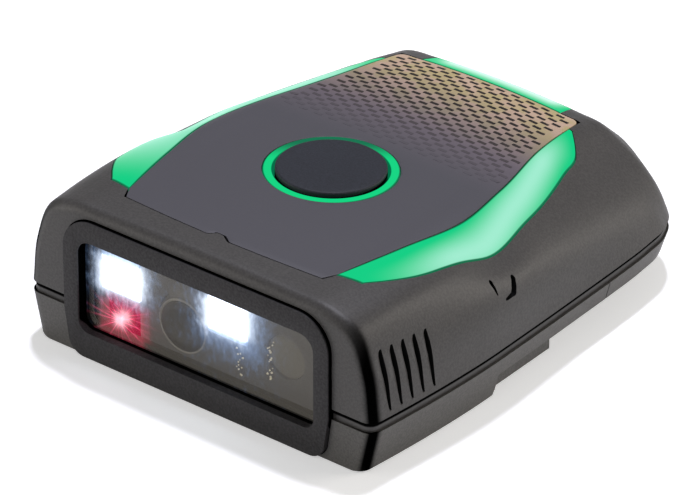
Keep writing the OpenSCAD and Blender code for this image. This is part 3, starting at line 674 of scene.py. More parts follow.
def mesh_object(name: str, points: Iterable, faces: Iterable, merge: float = 0.0) -> Piece:
    """Makes an object from points and faces, with its faces turned outwards.

    Args:
        name: The object's name.
        points: Rows of x, y and z.
        faces: Lists of point numbers.
        merge: Points closer than this become one.

    Returns:
        The new object, still in millimetres.
    """
    mesh = bpy.data.meshes.new(name)
    mesh.from_pydata([tuple(map(float, p)) for p in points], [], [tuple(f) for f in faces])
    mesh.validate()
    work = bmesh.new()
    work.from_mesh(mesh)
    if merge:
        bmesh.ops.remove_doubles(work, verts=work.verts, dist=merge)
        bmesh.ops.dissolve_degenerate(work, edges=work.edges, dist=merge / 10)
    bmesh.ops.recalc_face_normals(work, faces=work.faces)
    work.to_mesh(mesh)
    work.free()
    item = bpy.data.objects.new(name, mesh)
    bpy.context.scene.collection.objects.link(item)
    return item


def lofts(name: str, solids: Sequence[Sequence[Sequence]]) -> Piece:
    """Skins closed loops of points into solids that lie apart, and caps their ends.

    Args:
        name: The object's name.
        solids: For each solid, loops with the same number of points.

    Returns:
        One object with all the solids.
    """
    points: list = []
    faces: list = []
    for loops in solids:
        c, n, m = len(points), len(loops[0]), len(loops)
        points += [p for loop in loops for p in loop]
        faces += [[c + i * n + j, c + i * n + (j + 1) % n, c + (i + 1) * n + (j + 1) % n, c + (i + 1) * n + j]
                  for i in range(m - 1) for j in range(n)]
        faces += [list(range(c, c + n)), [c + (m - 1) * n + j for j in range(n)]]
    return mesh_object(name, points, faces)


def loft(name: str, loops: Sequence[Sequence]) -> Piece:
    """Skins closed loops of points, one after the other, and caps both ends."""
    return lofts(name, [loops])


def prism(name: str, outline: Sequence[tuple[float, float]], low: float, high: float) -> Piece:
    """Raises a plan outline from one height to another."""
    return loft(name, [[(x, y, z) for x, y in outline] for z in (low, high)])


def box(name: str, low: Sequence[float], high: Sequence[float]) -> Piece:
    """Returns a plain cutting block between two corners."""
    (x0, y0, z0), (x1, y1, z1) = low, high
    return prism(name, [(x0, y0), (x1, y0), (x1, y1), (x0, y1)], z0, z1)


def slice_off(start: float = -5.0, end: float = 80.0) -> Piece:
    """Returns a cutter for all that lies between two places along the scanner."""
    return box("slice", (-FAR, start, -5), (FAR, end, 20))


def arch(w: float, h: float, r: float, f: float, taper: float = 0.0, v: float = 0.0) -> list[tuple[float, float]]:
    """Draws the rounded outline of the bezel and the window.

    Args:
        w: Width.
        h: Height.
        r: Radius of the top corners.
        f: Radius of the bottom corners.
        taper: How far each side leans in at the bottom.
        v: Height below which the sides lean in.

    Returns:
        Points of x and z, the base at z = 0.
    """
    corners = [(w / 2 - taper - f, f, f, -90, 0), (w / 2 - r, h - r, r, 0, 90)]
    if taper:
        corners.insert(1, (w / 2 - f, max(f, v), f, -8, 0))
    right = [(x + rad * math.cos(a), z + rad * math.sin(a)) for x, z, rad, a0, a1 in corners
             for a in np.radians(np.linspace(a0, a1, 13))]
    return right + [(-x, z) for x, z in reversed(right)]


def upright(name: str, outline: Sequence[tuple[float, float]], y0: float, y1: float, z: float = 0.0) -> Piece:
    """Stands an outline up between two distances from the front face, z above the floor."""
    return loft(name, [[(x, y, z + h) for x, h in outline] for y in (y0, y1)])


def bezel_pocket() -> Piece:
    """Returns the cutter of the pocket that the bezel lies in."""
    return upright("pocket", arch(*POCKET), -2.0, BEZEL_DEEP, POCKET_Z)


def pane_seat() -> Piece:
    """Returns the cutter of the opening behind the window."""
    return upright("pane_seat", arch(*OPENING), -1.0, 5.8, OPENING_Z)


def slab(name: str, x: np.ndarray, y: np.ndarray, top: np.ndarray, low: np.ndarray) -> Piece:
    """Builds a closed slab over a grid of plan points, with places along and across it.

    Args:
        name: The object's name.
        x: Grid of places across.
        y: Grid of places along.
        top: Heights of the upper side.
        low: Heights of the lower side.

    Returns:
        The new object, with the map along_across.
    """
    m, n = x.shape
    pts = [(x[at], y[at], z[at]) for z in (top, low) for at in np.ndindex(m, n)]
    c = m * n
    faces: list = []
    for i in range(m - 1):
        for j in range(n - 1):
            a = i * n + j
            faces += [[a, a + 1, a + n + 1, a + n], [c + a, c + a + n, c + a + n + 1, c + a + 1]]
    rim = list(range(n)) + [i * n + n - 1 for i in range(1, m)]
    rim += [(m - 1) * n + j for j in range(n - 2, -1, -1)] + [i * n for i in range(m - 2, 0, -1)]
    faces += [[a, c + a, c + b, b] for a, b in zip(rim, rim[1:] + rim[:1])]
    item = mesh_object(name, pts, faces)
    layer = item.data.uv_layers.new(name="along_across")
    along = (y.mean(axis=1) - y.mean(axis=1).min()) / np.ptp(y.mean(axis=1))
    for loop in item.data.loops:
        k = loop.vertex_index % c
        layer.data[loop.index].uv = (along[k // n], (k % n) / (n - 1))
    return item


def settle(item: Piece) -> None:
    """Turns an object's modifiers into its mesh."""
    graph = bpy.context.evaluated_depsgraph_get()
    graph.update()
    mesh = bpy.data.meshes.new_from_object(item.evaluated_get(graph))
    item.modifiers.clear()
    old, item.data = item.data, mesh
    bpy.data.meshes.remove(old)


def carve(item: Piece, cutters: Sequence[Piece], painted_lining: Material | None = None) -> None:
    """Cuts others out of an object.

    Args:
        item: The object that is cut.
        cutters: The cutting objects, removed afterwards.
        painted_lining: Finish of the cut faces, where it isn't the object's own: black painted shade, or green painted
            light beside a guide.
    """
    for cutter in cutters:
        if painted_lining:
            cutter.data.materials.append(painted_lining)
        cut = item.modifiers.new("cut", "BOOLEAN")
        cut.operation = "DIFFERENCE"
        cut.solver = "MANIFOLD"
        cut.material_mode = "TRANSFER"
        cut.object = cutter
    settle(item)
    for cutter in cutters:
        bpy.data.objects.remove(cutter)


def ease_edges(item: Piece, radius: float, angle: float = 40.0, segments: int = 2) -> None:
    """Rounds the sharp edges of an object.

    Args:
        item: The object.
        radius: Width of the rounding in mm.
        angle: Edges sharper than this are rounded, in degrees.
        segments: Facets of the rounding.
    """
    bevel = item.modifiers.new("ease", "BEVEL")
    bevel.width = radius
    bevel.segments = segments
    bevel.limit_method = "ANGLE"
    bevel.angle_limit = math.radians(angle)
    settle(item)


def within(item: Piece, far: float = 25.019) -> None:
    """Holds a piece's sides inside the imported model's half width, far. The piece is still in millimetres."""
    for vertex in item.data.vertices:
        vertex.co.x = max(-far, min(far, vertex.co.x))


def hand_over(item: Piece, material: Material, slot: str, *replaces: str, body: Body = Body.SCANNER,
              smooth: float = 32.0) -> None:
    """Args:
        item: The piece, in millimetres in the maker's frame.
        material: Its finish.
        slot: The record's material slot. It is not used.
        *replaces: CAD nodes that it stands for.
        body: The body that it moves with.
        smooth: Edges flatter than this are shaded smooth, in degrees.
    """
    item.data.transform(Matrix.Translation((0, FRONT_Y, 0)) @ Matrix.Scale(MM, 4))
    item.data.shade_smooth()
    item.data.set_sharp_from_angle(angle=math.radians(smooth))
    if material not in list(item.data.materials):
        item.data.materials.clear()
        item.data.materials.append(material)
    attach(item, body.value)
    if replaces:
        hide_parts(*replaces)
    LOG.info("%s: %d faces", item.name, len(item.data.polygons))


def repeat_on_points(name: str, points: Sequence[Sequence[float]], unit: Piece, material: Material,
                     normals: Sequence[Sequence[float]] = (), sizes: Sequence[float] = ()) -> Piece:
    """Sets copies of a small shape on points with Geometry Nodes.

    Args:
        name: The new object's name.
        points: Places of the copies.
        unit: The shape, removed afterwards.
        material: The finish of the copies.
        normals: Which way is up at each place.
        sizes: How large each copy is.

    Returns:
        One mesh object with all copies.
    """
    carrier = mesh_object(name, points, [])
    for label, kind, part, values in (
            ("lean", "FLOAT_VECTOR", "vector", normals or [(0.0, 0.0, 1.0)] * len(points)),
            ("size", "FLOAT", "value", sizes or [1.0] * len(points))):
        carrier.data.attributes.new(label, kind, "POINT").data.foreach_set(part, np.ravel(values))
    tree = bpy.data.node_groups.new(name + "_copies", "GeometryNodeTree")
    for label, kind, way in (("Geometry", "Geometry", "INPUT"), ("Unit", "Object", "INPUT"),
                             ("Finish", "Material", "INPUT"), ("Geometry", "Geometry", "OUTPUT")):
        tree.interface.new_socket(label, in_out=way, socket_type="NodeSocket" + kind)
    given = add_node(tree, "NodeGroupInput").outputs
    shape = add_node(tree, "GeometryNodeObjectInfo", {"Object": given["Unit"]})
    up = add_node(tree, "GeometryNodeInputNamedAttribute", {"Name": "lean"}, data_type="FLOAT_VECTOR")
    turn = add_node(tree, "FunctionNodeAlignRotationToVector", {"Vector": up.outputs[0]}, axis="Z")
    scale = add_node(tree, "GeometryNodeInputNamedAttribute", {"Name": "size"}, data_type="FLOAT")
    copies = add_node(tree, "GeometryNodeInstanceOnPoints",
                      {"Points": given["Geometry"], "Instance": shape.outputs["Geometry"],
                       "Rotation": turn.outputs[0], "Scale": scale.outputs[0]})
    real = add_node(tree, "GeometryNodeRealizeInstances", {0: copies.outputs[0]})
    dressed = add_node(tree, "GeometryNodeSetMaterial", {"Geometry": real.outputs[0], "Material": given["Finish"]})
    add_node(tree, "NodeGroupOutput", {"Geometry": dressed.outputs[0]})
    nodes = carrier.modifiers.new("copies", "NODES")
    nodes.node_group = tree
    names = {s.name: s.identifier for s in tree.interface.items_tree if s.in_out == "INPUT"}
    nodes[names["Unit"]] = unit
    nodes[names["Finish"]] = material
    settle(carrier)
    bpy.data.objects.remove(unit)
    return carrier


# The plan of the top, shared by the panel, the guides, the button and their seats


@dataclass(frozen=True)
class TopPlan:
    """Outlines of the panel and the light guides seen from above. Each grid can be grown by g for its seat."""

    skin: Skin = field(default_factory=Skin)
    start: float = 6.1
    end: float = 50.9
    width: float = 34.1
    lead: float = 1.5  # how far the front corners lie ahead of the guides
    nip: float = 0.85  # how much narrower the panel is there, each side
    corner: float = 0.8  # radius of the panel's rear corners
    bow: float = 0.8
    nick: float = 0.75  # depth of the nick in the front edge
    seam: float = 0.12
    guide: float = 4.3
    crest: float = 1.15  # how much further the left guide runs, over the edge of the crown
    rear_guide: float = 2.85
    rear_trim: float = 3.1
    flare: float = 0.35  # how much wider the rear guide is in front, each side
    narrow: float = 0.45  # how much it narrows towards the rear, each side
    blur: float = 0.8  # length over which the outer edge is smoothed at the rear, where its knots lie close
    slant: tuple = (0.2, 0.6, 1.3)  # how far the side guides' front ends go in and ahead, and over which length
    panel_edge: tuple = ((0, 0.83), (0.19, 0.931), (0.37, 1.007), (0.57, 0.934), (0.8, 0.791), (1, 0.723))
    guide_edge: tuple = ((0.01, 0.7), (0.11, 1), (0.35, 0.93), (0.57, 0.927), (0.8, 0.824), (0.885, 0.65),
                         (0.93, 0.26), (0.945, 0.12))

    def _read(self, table: tuple, y: np.ndarray) -> np.ndarray:
        """Reads one of the tables at y."""
        t = np.array(table, float)
        return curve_at(t[:, 1:], t[:, 0], (np.ravel(y) - self.start) / (self.end - self.start))[:, 0]

    def half(self, y: np.ndarray) -> np.ndarray:
        """Returns the panel's half width at y."""
        return self.width / 2 * self._read(self.panel_edge, y)

    def front(self, x: np.ndarray, g: float, depth: float) -> np.ndarray:
        """Returns the panel's bowed front edge over x, with a nick of this depth in its middle."""
        reach = self.panel_edge[0][1] * self.width
        wall = [-1.5 + 0.5 * g, -0.8 + 0.5 * g, 0.4 - 2.3 * g, 1.5 - 2.3 * g]
        nick = np.interp(x, wall, [0.0, depth, depth, 0.0])
        return self.start - self.lead - self.bow * (1 - (2 * x / reach) ** 2) + nick - g

    def panel(self, g: float, rows: int = 44, across: int = 150) -> Grid:
        """Lays a grid over the panel, the front edge first. Only its own rear corners are round."""
        s = np.linspace(-1, 1, across + 1)
        back = self.end + g if g else self.end - 0.08
        r = 0.0 if g else self.corner
        turn = back - r + r * np.sin(np.linspace(0.2, math.pi / 2, 8))
        y = np.unique(np.round(np.concatenate([np.linspace(self.start, back - r, rows), turn]), 5))
        half = self.half(np.minimum(y, self.end)) + g
        nose = half[0] - g - self.nip
        if r:
            half -= r - np.sqrt(np.maximum(0.0, r**2 - np.maximum(0.0, y - back + r) ** 2))
        tip = nose + 1.9 * g
        x = np.vstack([tip * s, (tip + 0.63 * (half[0] - tip)) * s, half[:, None] * s[None, :]])
        first, second = (self.front(np.clip(row, -nose, nose), g, deep) for row, deep in zip(x, (self.nick, 0.0)))
        # the second row has no nick, which keeps the rest of the panel smooth
        return x, np.vstack([first, second + 0.95, np.repeat(y[:, None], across + 1, axis=1)])

    def side(self, k: int, g: float, rows: int = 90, across: int = 12) -> Grid:
        """Lays a grid over the side guide on side k, which is -1 or 1."""
        low, high = self.guide_edge[0][0], self.guide_edge[-1][0]
        share = (1 - np.cos(np.linspace(0, math.pi, rows))) / 2
        y = self.start + (low + (high - low) * share) * (self.end - self.start)
        inner = self.half(y) + self.seam - g
        bulge = self._read(self.guide_edge, y)
        around = np.exp(-(((y[:, None] - y[None, :]) / self.blur) ** 2)) * np.gradient(y)[None, :]
        smooth = (around * bulge[None, :]).sum(1) / around.sum(1)
        bulge = bulge + (smooth - bulge) * np.clip((share - 0.6) / 0.1, 0, 1) * np.clip((0.985 - share) / 0.03, 0, 1)
        outer = self.half(y) + self.guide * bulge + g
        if k < 0:
            outer += self.crest * np.clip(8 * share, 0, 1) * np.clip(8 * (1 - share), 0, 1)
        # the front end is cut aslant along the panel's corner
        aside, ahead, over = self.slant
        lead = np.exp(-(((y - y[0]) / over) ** 2))
        y = y.copy()
        y[0] -= g
        y[-1] += g
        s = np.linspace(0, 1, across + 1)
        x = inner[:, None] + (outer - inner)[:, None] * s[None, :] - aside * lead[:, None]
        return k * x, y[:, None] - ahead * lead[:, None] * (1 - s)[None, :]

    def rear(self, g: float, rows: int = 14, across: int = 40) -> Grid:
        """Lays a grid over the rear guide, which narrows towards the rear."""
        half = float(self.half(np.array([self.end]))[0]) - self.rear_trim + g
        y0, y1 = self.end + self.seam - g, self.end + self.seam + self.rear_guide + g
        x, y = np.meshgrid(np.linspace(-1, 1, across + 1), np.linspace(y0, y1, rows))
        return x * (half + self.flare - self.narrow * (y - y0) / (y1 - y0)), y

    def slab(self, name: str, grid: Grid, up: float, down: float) -> Piece:
        """Builds a slab that follows the skin, from up above it to down below it."""
        x, y = grid
        z = self.skin.height(x, y)
        return slab(name, x, y, z + up, z - down)


@dataclass(frozen=True)
class ButtonPlace:
    """Where the trigger button sits and how it leans."""

    y: float = 22.8
    z: float = 18.35
    tilt: float = 2.0
    cap: float = 12.2
    ring: float = 14.9
    gap: float = 0.15
    proud: float = 0.455
    seat: float = 0.05  # how much wider the hole is than the ring, each side
    deep: float = 2.0  # height of the ring
    flange: float = 6.7  # radius of the cap's flange, which lies under the ring
    flange_thick: float = 0.6
    stem: float = 1.5  # its radius
    stem_end: float = -4.7  # height of the stem's end over the ring's face, just above the switch

    def turned(self, name: str, profile: Sequence[tuple[float, float]], turns: int = 96) -> Piece:
        """Turns a profile about the button's own axis.

        Args:
            name: The object's name.
            profile: Radius and height pairs. Closed if it begins off the axis.
            turns: Facets round the axis.

        Returns:
            The new object.
        """
        lean = Matrix.Translation((0, self.y, self.z)) @ Matrix.Rotation(math.radians(-self.tilt), 4, "X")
        pts = [lean @ Vector((r * math.cos(a), r * math.sin(a), h))
               for a in (2 * math.pi * k / turns for k in range(turns)) for r, h in profile]
        n = len(profile)
        last = n if profile[0][0] > 0 else n - 1
        faces = [[k * n + i, (k + 1) % turns * n + i, (k + 1) % turns * n + (i + 1) % n, k * n + (i + 1) % n]
                 for k in range(turns) for i in range(last)]
        return mesh_object(name, pts, faces, 1e-5)

    def plug(self, r: float, low: float, high: float) -> Piece:
        """Returns a round cutter on the button's axis, from low to high."""
        return self.turned("plug", [(0, low), (r, low), (r, high), (0, high)])


# Sub-assemblies


@dataclass
class Housings:
    """The two moulded housings, the rear cover and the seal between them."""

    skin: Skin
    plan: TopPlan
    button: ButtonPlace
    wall: float = 1.8
    band: float = 1.25
    band_inset: float = 0.25
    taper: float = 1.1
    foot: float = 0.6  # radius of the lower edge
    out: float = 2.0  # how far the cutters of the seats stand out of the crown
    panel_seat: float = 0.85
    guide_seat: float = 1.05
    button_room: float = 7.0  # radius of the room under the button
    block: float = 20.6
    keel: float = 3.0
    keel_half: float = 16.0
    keel_end: float = 38.2
    shoulder: float = 1.0
    shoulder_end: float = 30.8
    cover: float = 40.0
    tongue: float = 0.8  # how far the cover's tongue reaches to both sides of the seam
    slits: int = 5
    slit_pitch: float = 1.66
    slit_start: float = 2.6
    # the arms of the strap notch: y, z and radius of both ends, and the depth
    arms: tuple = (((23.7, 13.3, 0.32), (23.0, 12.2, 0.44), 1.2), ((22.95, 12.1, 0.32), (21.65, 11.97, 0.16), 0.9),
                   ((20.4, 14.15, 0.24), (20.5, 12.95, 0.1), 0.5))

    def slit_cutters(self) -> tuple[Piece, Piece]:
        """Builds the grip slits of both sides: deep tapered cuts, each with a shallow scoop before it."""
        slits, scoops = [], []
        for k, i in ((k, i) for k in (-1, 1) for i in range(self.slits)):
            end = self.slit_start + 0.35 + i * self.slit_pitch
            top = self.skin.parting + 0.62 * self.skin.crown - 0.1 * i
            low = self.skin.parting + 0.05 * self.skin.crown
            slit, scoop = [], []
            for t in np.linspace(0, 1, 10):  # from the top of the slit to its foot
                z, y = top + (low - top) * t, end + 0.12 * t
                x = self.skin.reach(y, z)
                wide = 0.64 * float(np.interp(t, [0, 0.12, 0.3, 1], [0.25, 0.8, 1.0, 0.2]))
                lead = 0.75 * float(np.interp(t, [0, 0.15, 0.5, 1], [0.25, 1.0, 0.75, 0.3]))
                deep = float(np.interp(t, [0, 0.2, 1], [0.5, 1.1, 0.45]))
                slit.append([(k * (x + out), y - back, z) for out, back in (
                    (0.9, wide), (0.9, 0.0), (-deep, 0.05), (-deep, 0.7 * wide))])
                scoop.append([(k * (x + out), y - back, z) for out, back in (
                    (0.6, wide + lead), (0.6, 0.3 * wide), (-0.3, 0.35 * wide), (-0.3, wide), (0.01, wide + lead))])
            slits.append(slit)
            scoops.append(scoop)
        return lofts("slits", slits), lofts("scoops", scoops)

    def notch_cutters(self) -> list[Piece]:
        """Builds the strap notch of each side: a deep slot with a hooked foot, and a fine arm in front of it."""
        cutters = []
        for one, two, deep in self.arms:
            turn = math.degrees(math.atan2(two[1] - one[1], two[0] - one[0]))
            outline = [(y + r * math.cos(a), z + r * math.sin(a)) for (y, z, r), a0 in ((one, 90), (two, -90))
                       for a in np.radians(np.linspace(turn + a0, turn + a0 + 180, 9))]
            cutters.append(lofts("notch", [[[(k * (self.skin.reach(y, z) + d), y, z) for y, z in outline]
                                            for d in (0.8, -deep)] for k in (-1, 1)]))
        return cutters

    def seats(self) -> list[Piece]:
        """Builds the pockets of the panel, the guides and the ring."""
        plan, g, b = self.plan, self.plan.seam, self.button
        cutters = [plan.slab("seat", plan.panel(g, 40, 120), self.out, self.panel_seat)]
        cutters += [plan.slab("seat", grid, self.out, self.guide_seat)
                    for grid in (plan.side(-1, g, 70, 8), plan.side(1, g, 70, 8), plan.rear(g))]
        return [*cutters, b.plug(b.ring / 2 + b.seat, -b.deep, 4.0), b.plug(self.button_room, -9.0, 3.0)]

    def upper(self, finish: Material, painted_lining: Material, lit: Material) -> None:
        """Builds and dresses the upper housing.

        Args:
            finish: The shell's finish.
            painted_lining: Finish of the cuts, black as painted shade.
            lit: Finish of the cuts beside the light guides, painted green as their light.
        """
        skin = self.skin
        shell = loft("upper_shell", [skin.ring(skin.inner(y, skin.inset(y)) if skin.inset(y) else skin.half(y), y)
                                     for y in skin.places()])
        rooms = []
        for turn in np.radians(np.linspace(0, 90, 25)):
            y = self.wall + (skin.length - 2.6 * self.wall) * math.sin(turn)
            # the rear wall leans, so the room keeps further away from it
            reach = y + self.wall * min(1.0, max(0.0, y / skin.length - 0.55) / 0.4) ** 2
            rooms.append(skin.ring(skin.inner(min(reach, skin.length - 0.3), self.wall), y, -0.01))
        slits, scoops = self.slit_cutters()
        shell.data.materials.append(finish)
        carve(shell, [loft("room", rooms), pane_seat(), scoops])
        seats = self.seats()
        # the bezel pocket, slits, notches and panel seat are black inside: painted shade
        carve(shell, [bezel_pocket(), slits, *self.notch_cutters(), seats[0]], painted_lining)
        # the seats of the guides and the ring, and the room under the button, are green inside: painted light of the
        # guides
        carve(shell, seats[1:], lit)
        within(shell)
        hand_over(shell, finish, "shell", "top_housing")

    def lower_block(self, name: str) -> Piece:
        """Builds the lower housing and the cover as one solid, before the seam is cut."""
        skin, foot = self.skin, self.foot
        low = skin.parting - self.band
        levels = [(0.0, low)]
        levels += [(self.taper * s, low + (0.7 - low) * s) for s in (0.25, 0.5, 0.75, 1.0)]
        levels += [(self.taper + foot * (1 - math.cos(a)), foot - foot * math.sin(a)) for a in np.radians((30, 60, 90))]
        return loft(name, [[(x * (1 - 2 * d / skin.width), y * (1 - d / skin.length), z) for x, y in skin.outline()]
                           for d, z in levels])

    def lower_cutters(self) -> list[Piece]:
        """Builds what the raised underside, the shoulders, the keel and the room leave out."""
        end = 70.0
        side = self.skin.width / 2 - self.taper - 0.3
        cutters = [loft("step", [[(-FAR, y0, -1), (FAR, y0, -1), (FAR, y1, self.shoulder), (-FAR, y1, self.shoulder)]
                                 for y0, y1 in ((self.block - 0.6, self.block), (end, end))])]
        for k in (-1, 1):
            for near, start in ((self.keel_half, self.shoulder_end), (side, self.block)):
                a, b = sorted((k * near, k * FAR))
                cutters.append(box("raise", (a, start, -1), (b, end, self.keel)))
        cutters.append(box("tail", (-FAR, self.keel_end, -1), (FAR, end, self.keel)))
        cutters.append(prism("room", self.skin.outline(self.wall + 0.3), 4.4, 7.0))
        cutters.append(box("well", (-19.0, 1.9, 2.0), (19.0, 18.8, 5.0)))
        return cutters

    def lower(self, finish: Material, painted_lining: Material) -> None:
        """Builds and dresses the lower housing and the rear cover."""
        front = self.lower_block("lower_shell")
        front.data.materials.append(finish)
        carve(front, [*self.lower_cutters(), pane_seat(), slice_off(start=self.cover)])
        # the bezel pocket is black inside: painted shade
        carve(front, [bezel_pocket()], painted_lining)
        within(front)
        hand_over(front, finish, "shell", "bottom_housing")
        cover = self.lower_block("rear_lid")
        carve(cover, [*self.lower_cutters(), slice_off(end=self.cover + 0.14)])
        hand_over(cover, finish, "shell", "rear_cover")
        # the cover's tongue, which reaches into the housing and closes the seam; it is black, painted shade in the seam
        tongue = self.lower_block("rear_lid_tongue")
        tongue.data.transform(Matrix.Scale(1 - 0.9 / self.skin.width, 4, (1, 0, 0)))
        carve(tongue, [*self.lower_cutters(), slice_off(end=self.cover - self.tongue),
                       slice_off(start=self.cover + self.tongue)])
        hand_over(tongue, painted_lining, "shell")

    def seal(self, finish: Material) -> None:
        """Builds and dresses the seal band."""
        low = self.skin.parting - self.band
        band = prism("seal_band", self.skin.outline(self.band_inset), low + 0.01, self.skin.parting - 0.04)
        carve(band, [prism("hole", self.skin.outline(self.wall), low - 1, low + 3), bezel_pocket(), pane_seat()])
        ease_edges(band, 0.04)
        hand_over(band, finish, "seal", "parting_seal")


@dataclass
class Front:
    """The bezel, the window pane and what the window shows."""

    # painted light of the lamps in the pane: white and blue halos, the red aimer's halo and rays, and a faint grey
    # patch
    painted_glows: tuple[PaintedGlow, ...] = (
        PaintedGlow(-11.6, 10.4, 2.3, 1.3, 0.75, "#eef6ff", 0.9, ragged=0.8),
        PaintedGlow(-11.6, 10.5, 2.3, 1.4, 1.5, "#6f98d0", 0.34, ragged=1.2),
        PaintedGlow(3.0, 11.1, 2.3, 1.3, 0.75, "#eef6ff", 0.9, ragged=0.8),
        PaintedGlow(3.3, 10.7, 2.4, 1.6, 1.9, "#6f98d0", 0.36, ragged=1.2),
        PaintedGlow(-11.2, 5.4, 2.75, 1.95, 0.35, "#a00030", 0.36, ragged=0.5),
        PaintedGlow(-11.6, 5.4, 0.3, 0.3, 0.5, "#ffdfe8", 0.8, ragged=0.3),
        PaintedGlow(-11.6, 5.4, 0.3, 0.3, 1.75, "#ff5a84", 1.1, 27, ragged=0.4),
        PaintedGlow(-2.5, 11.6, 1.7, 0.5, 0.3, "#7a7464", 0.07, ragged=0.1),
    )
    # the ragged columns of solder dots, which stand as painted glints: x, lowest and highest z, how many
    columns: tuple = ((3.7, 3.6, 7.2, 13), (7.9, 4.6, 9.8, 17))
    bead: float = 0.11  # radius of a dot
    eye_drop: float = 0.72  # how far the camera's front shows below its barrel's middle

    def bezel(self, finish: Material) -> None:
        """Builds and dresses the bezel."""
        ring = upright("bezel", arch(*BEZEL), -0.5, BEZEL_DEEP)
        carve(ring, [upright("aperture", arch(*APERTURE), -3.0, 4.0, APERTURE_Z)])
        ease_edges(ring, 0.3, segments=3)
        hand_over(ring, finish, "bezel", "front_bezel")

    def dots(self, finish: Material) -> None:
        """Sets the two columns of solder dots that show in the window, bright beads that stand as painted glints."""
        rng = np.random.default_rng(7)
        y = (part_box("engine_chassis")[0].y - FRONT_Y) / MM - 0.04
        spots = [(x + rng.uniform(-0.45, 0.4), y, z0 + (z1 - z0) * i / count + rng.uniform(-0.25, 0.25))
                 for x, z0, z1, count in self.columns for i in range(count)]
        sizes = list(rng.uniform(0.6, 1.4, len(spots)))
        item = repeat_on_points("solder_dots", spots, ball("dot", self.bead), finish, sizes=sizes)
        hand_over(item, finish, "steel")

    def camera_eye(self, finish: Material, rim: Material) -> None:
        """Builds the camera's round front and the pale ring round it, where the photograph shows them.

        Args:
            finish: Finish of barrel and lens, which look like one dark disc.
            rim: Finish of the ring.
        """
        low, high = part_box("camera_barrel")
        x, z = (low.x + high.x) / 2 / MM, (low.z + high.z) / 2 / MM - self.eye_drop
        y = (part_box("engine_chassis")[0].y - FRONT_Y) / MM
        turns = np.radians(np.arange(0, 360, 5))
        disc = ((2.95, 0.1), (2.95, -0.03), (2.85, -0.07), (1.9, -0.07), (1.8, -0.02))
        ring = ((3.22, 0.12), (3.22, -0.05), (3.14, -0.1), (3.06, -0.05), (3.06, 0.12))
        for name, profile, look, *nodes in (("camera_eye", disc, finish, "camera_lens"),
                                            ("camera_rim", ring, rim)):
            item = loft(name, [[(x + r * math.cos(a), y + d, z + r * math.sin(a)) for a in turns] for r, d in profile])
            hand_over(item, look, "black_plastic", *nodes)


def ball(name: str, radius: float) -> Piece:
    """Returns a small round bead."""
    work = bmesh.new()
    bmesh.ops.create_icosphere(work, subdivisions=1, radius=radius)
    item = mesh_object(name, [v.co for v in work.verts], [[v.index for v in f.verts] for f in work.faces])
    work.free()
    return item


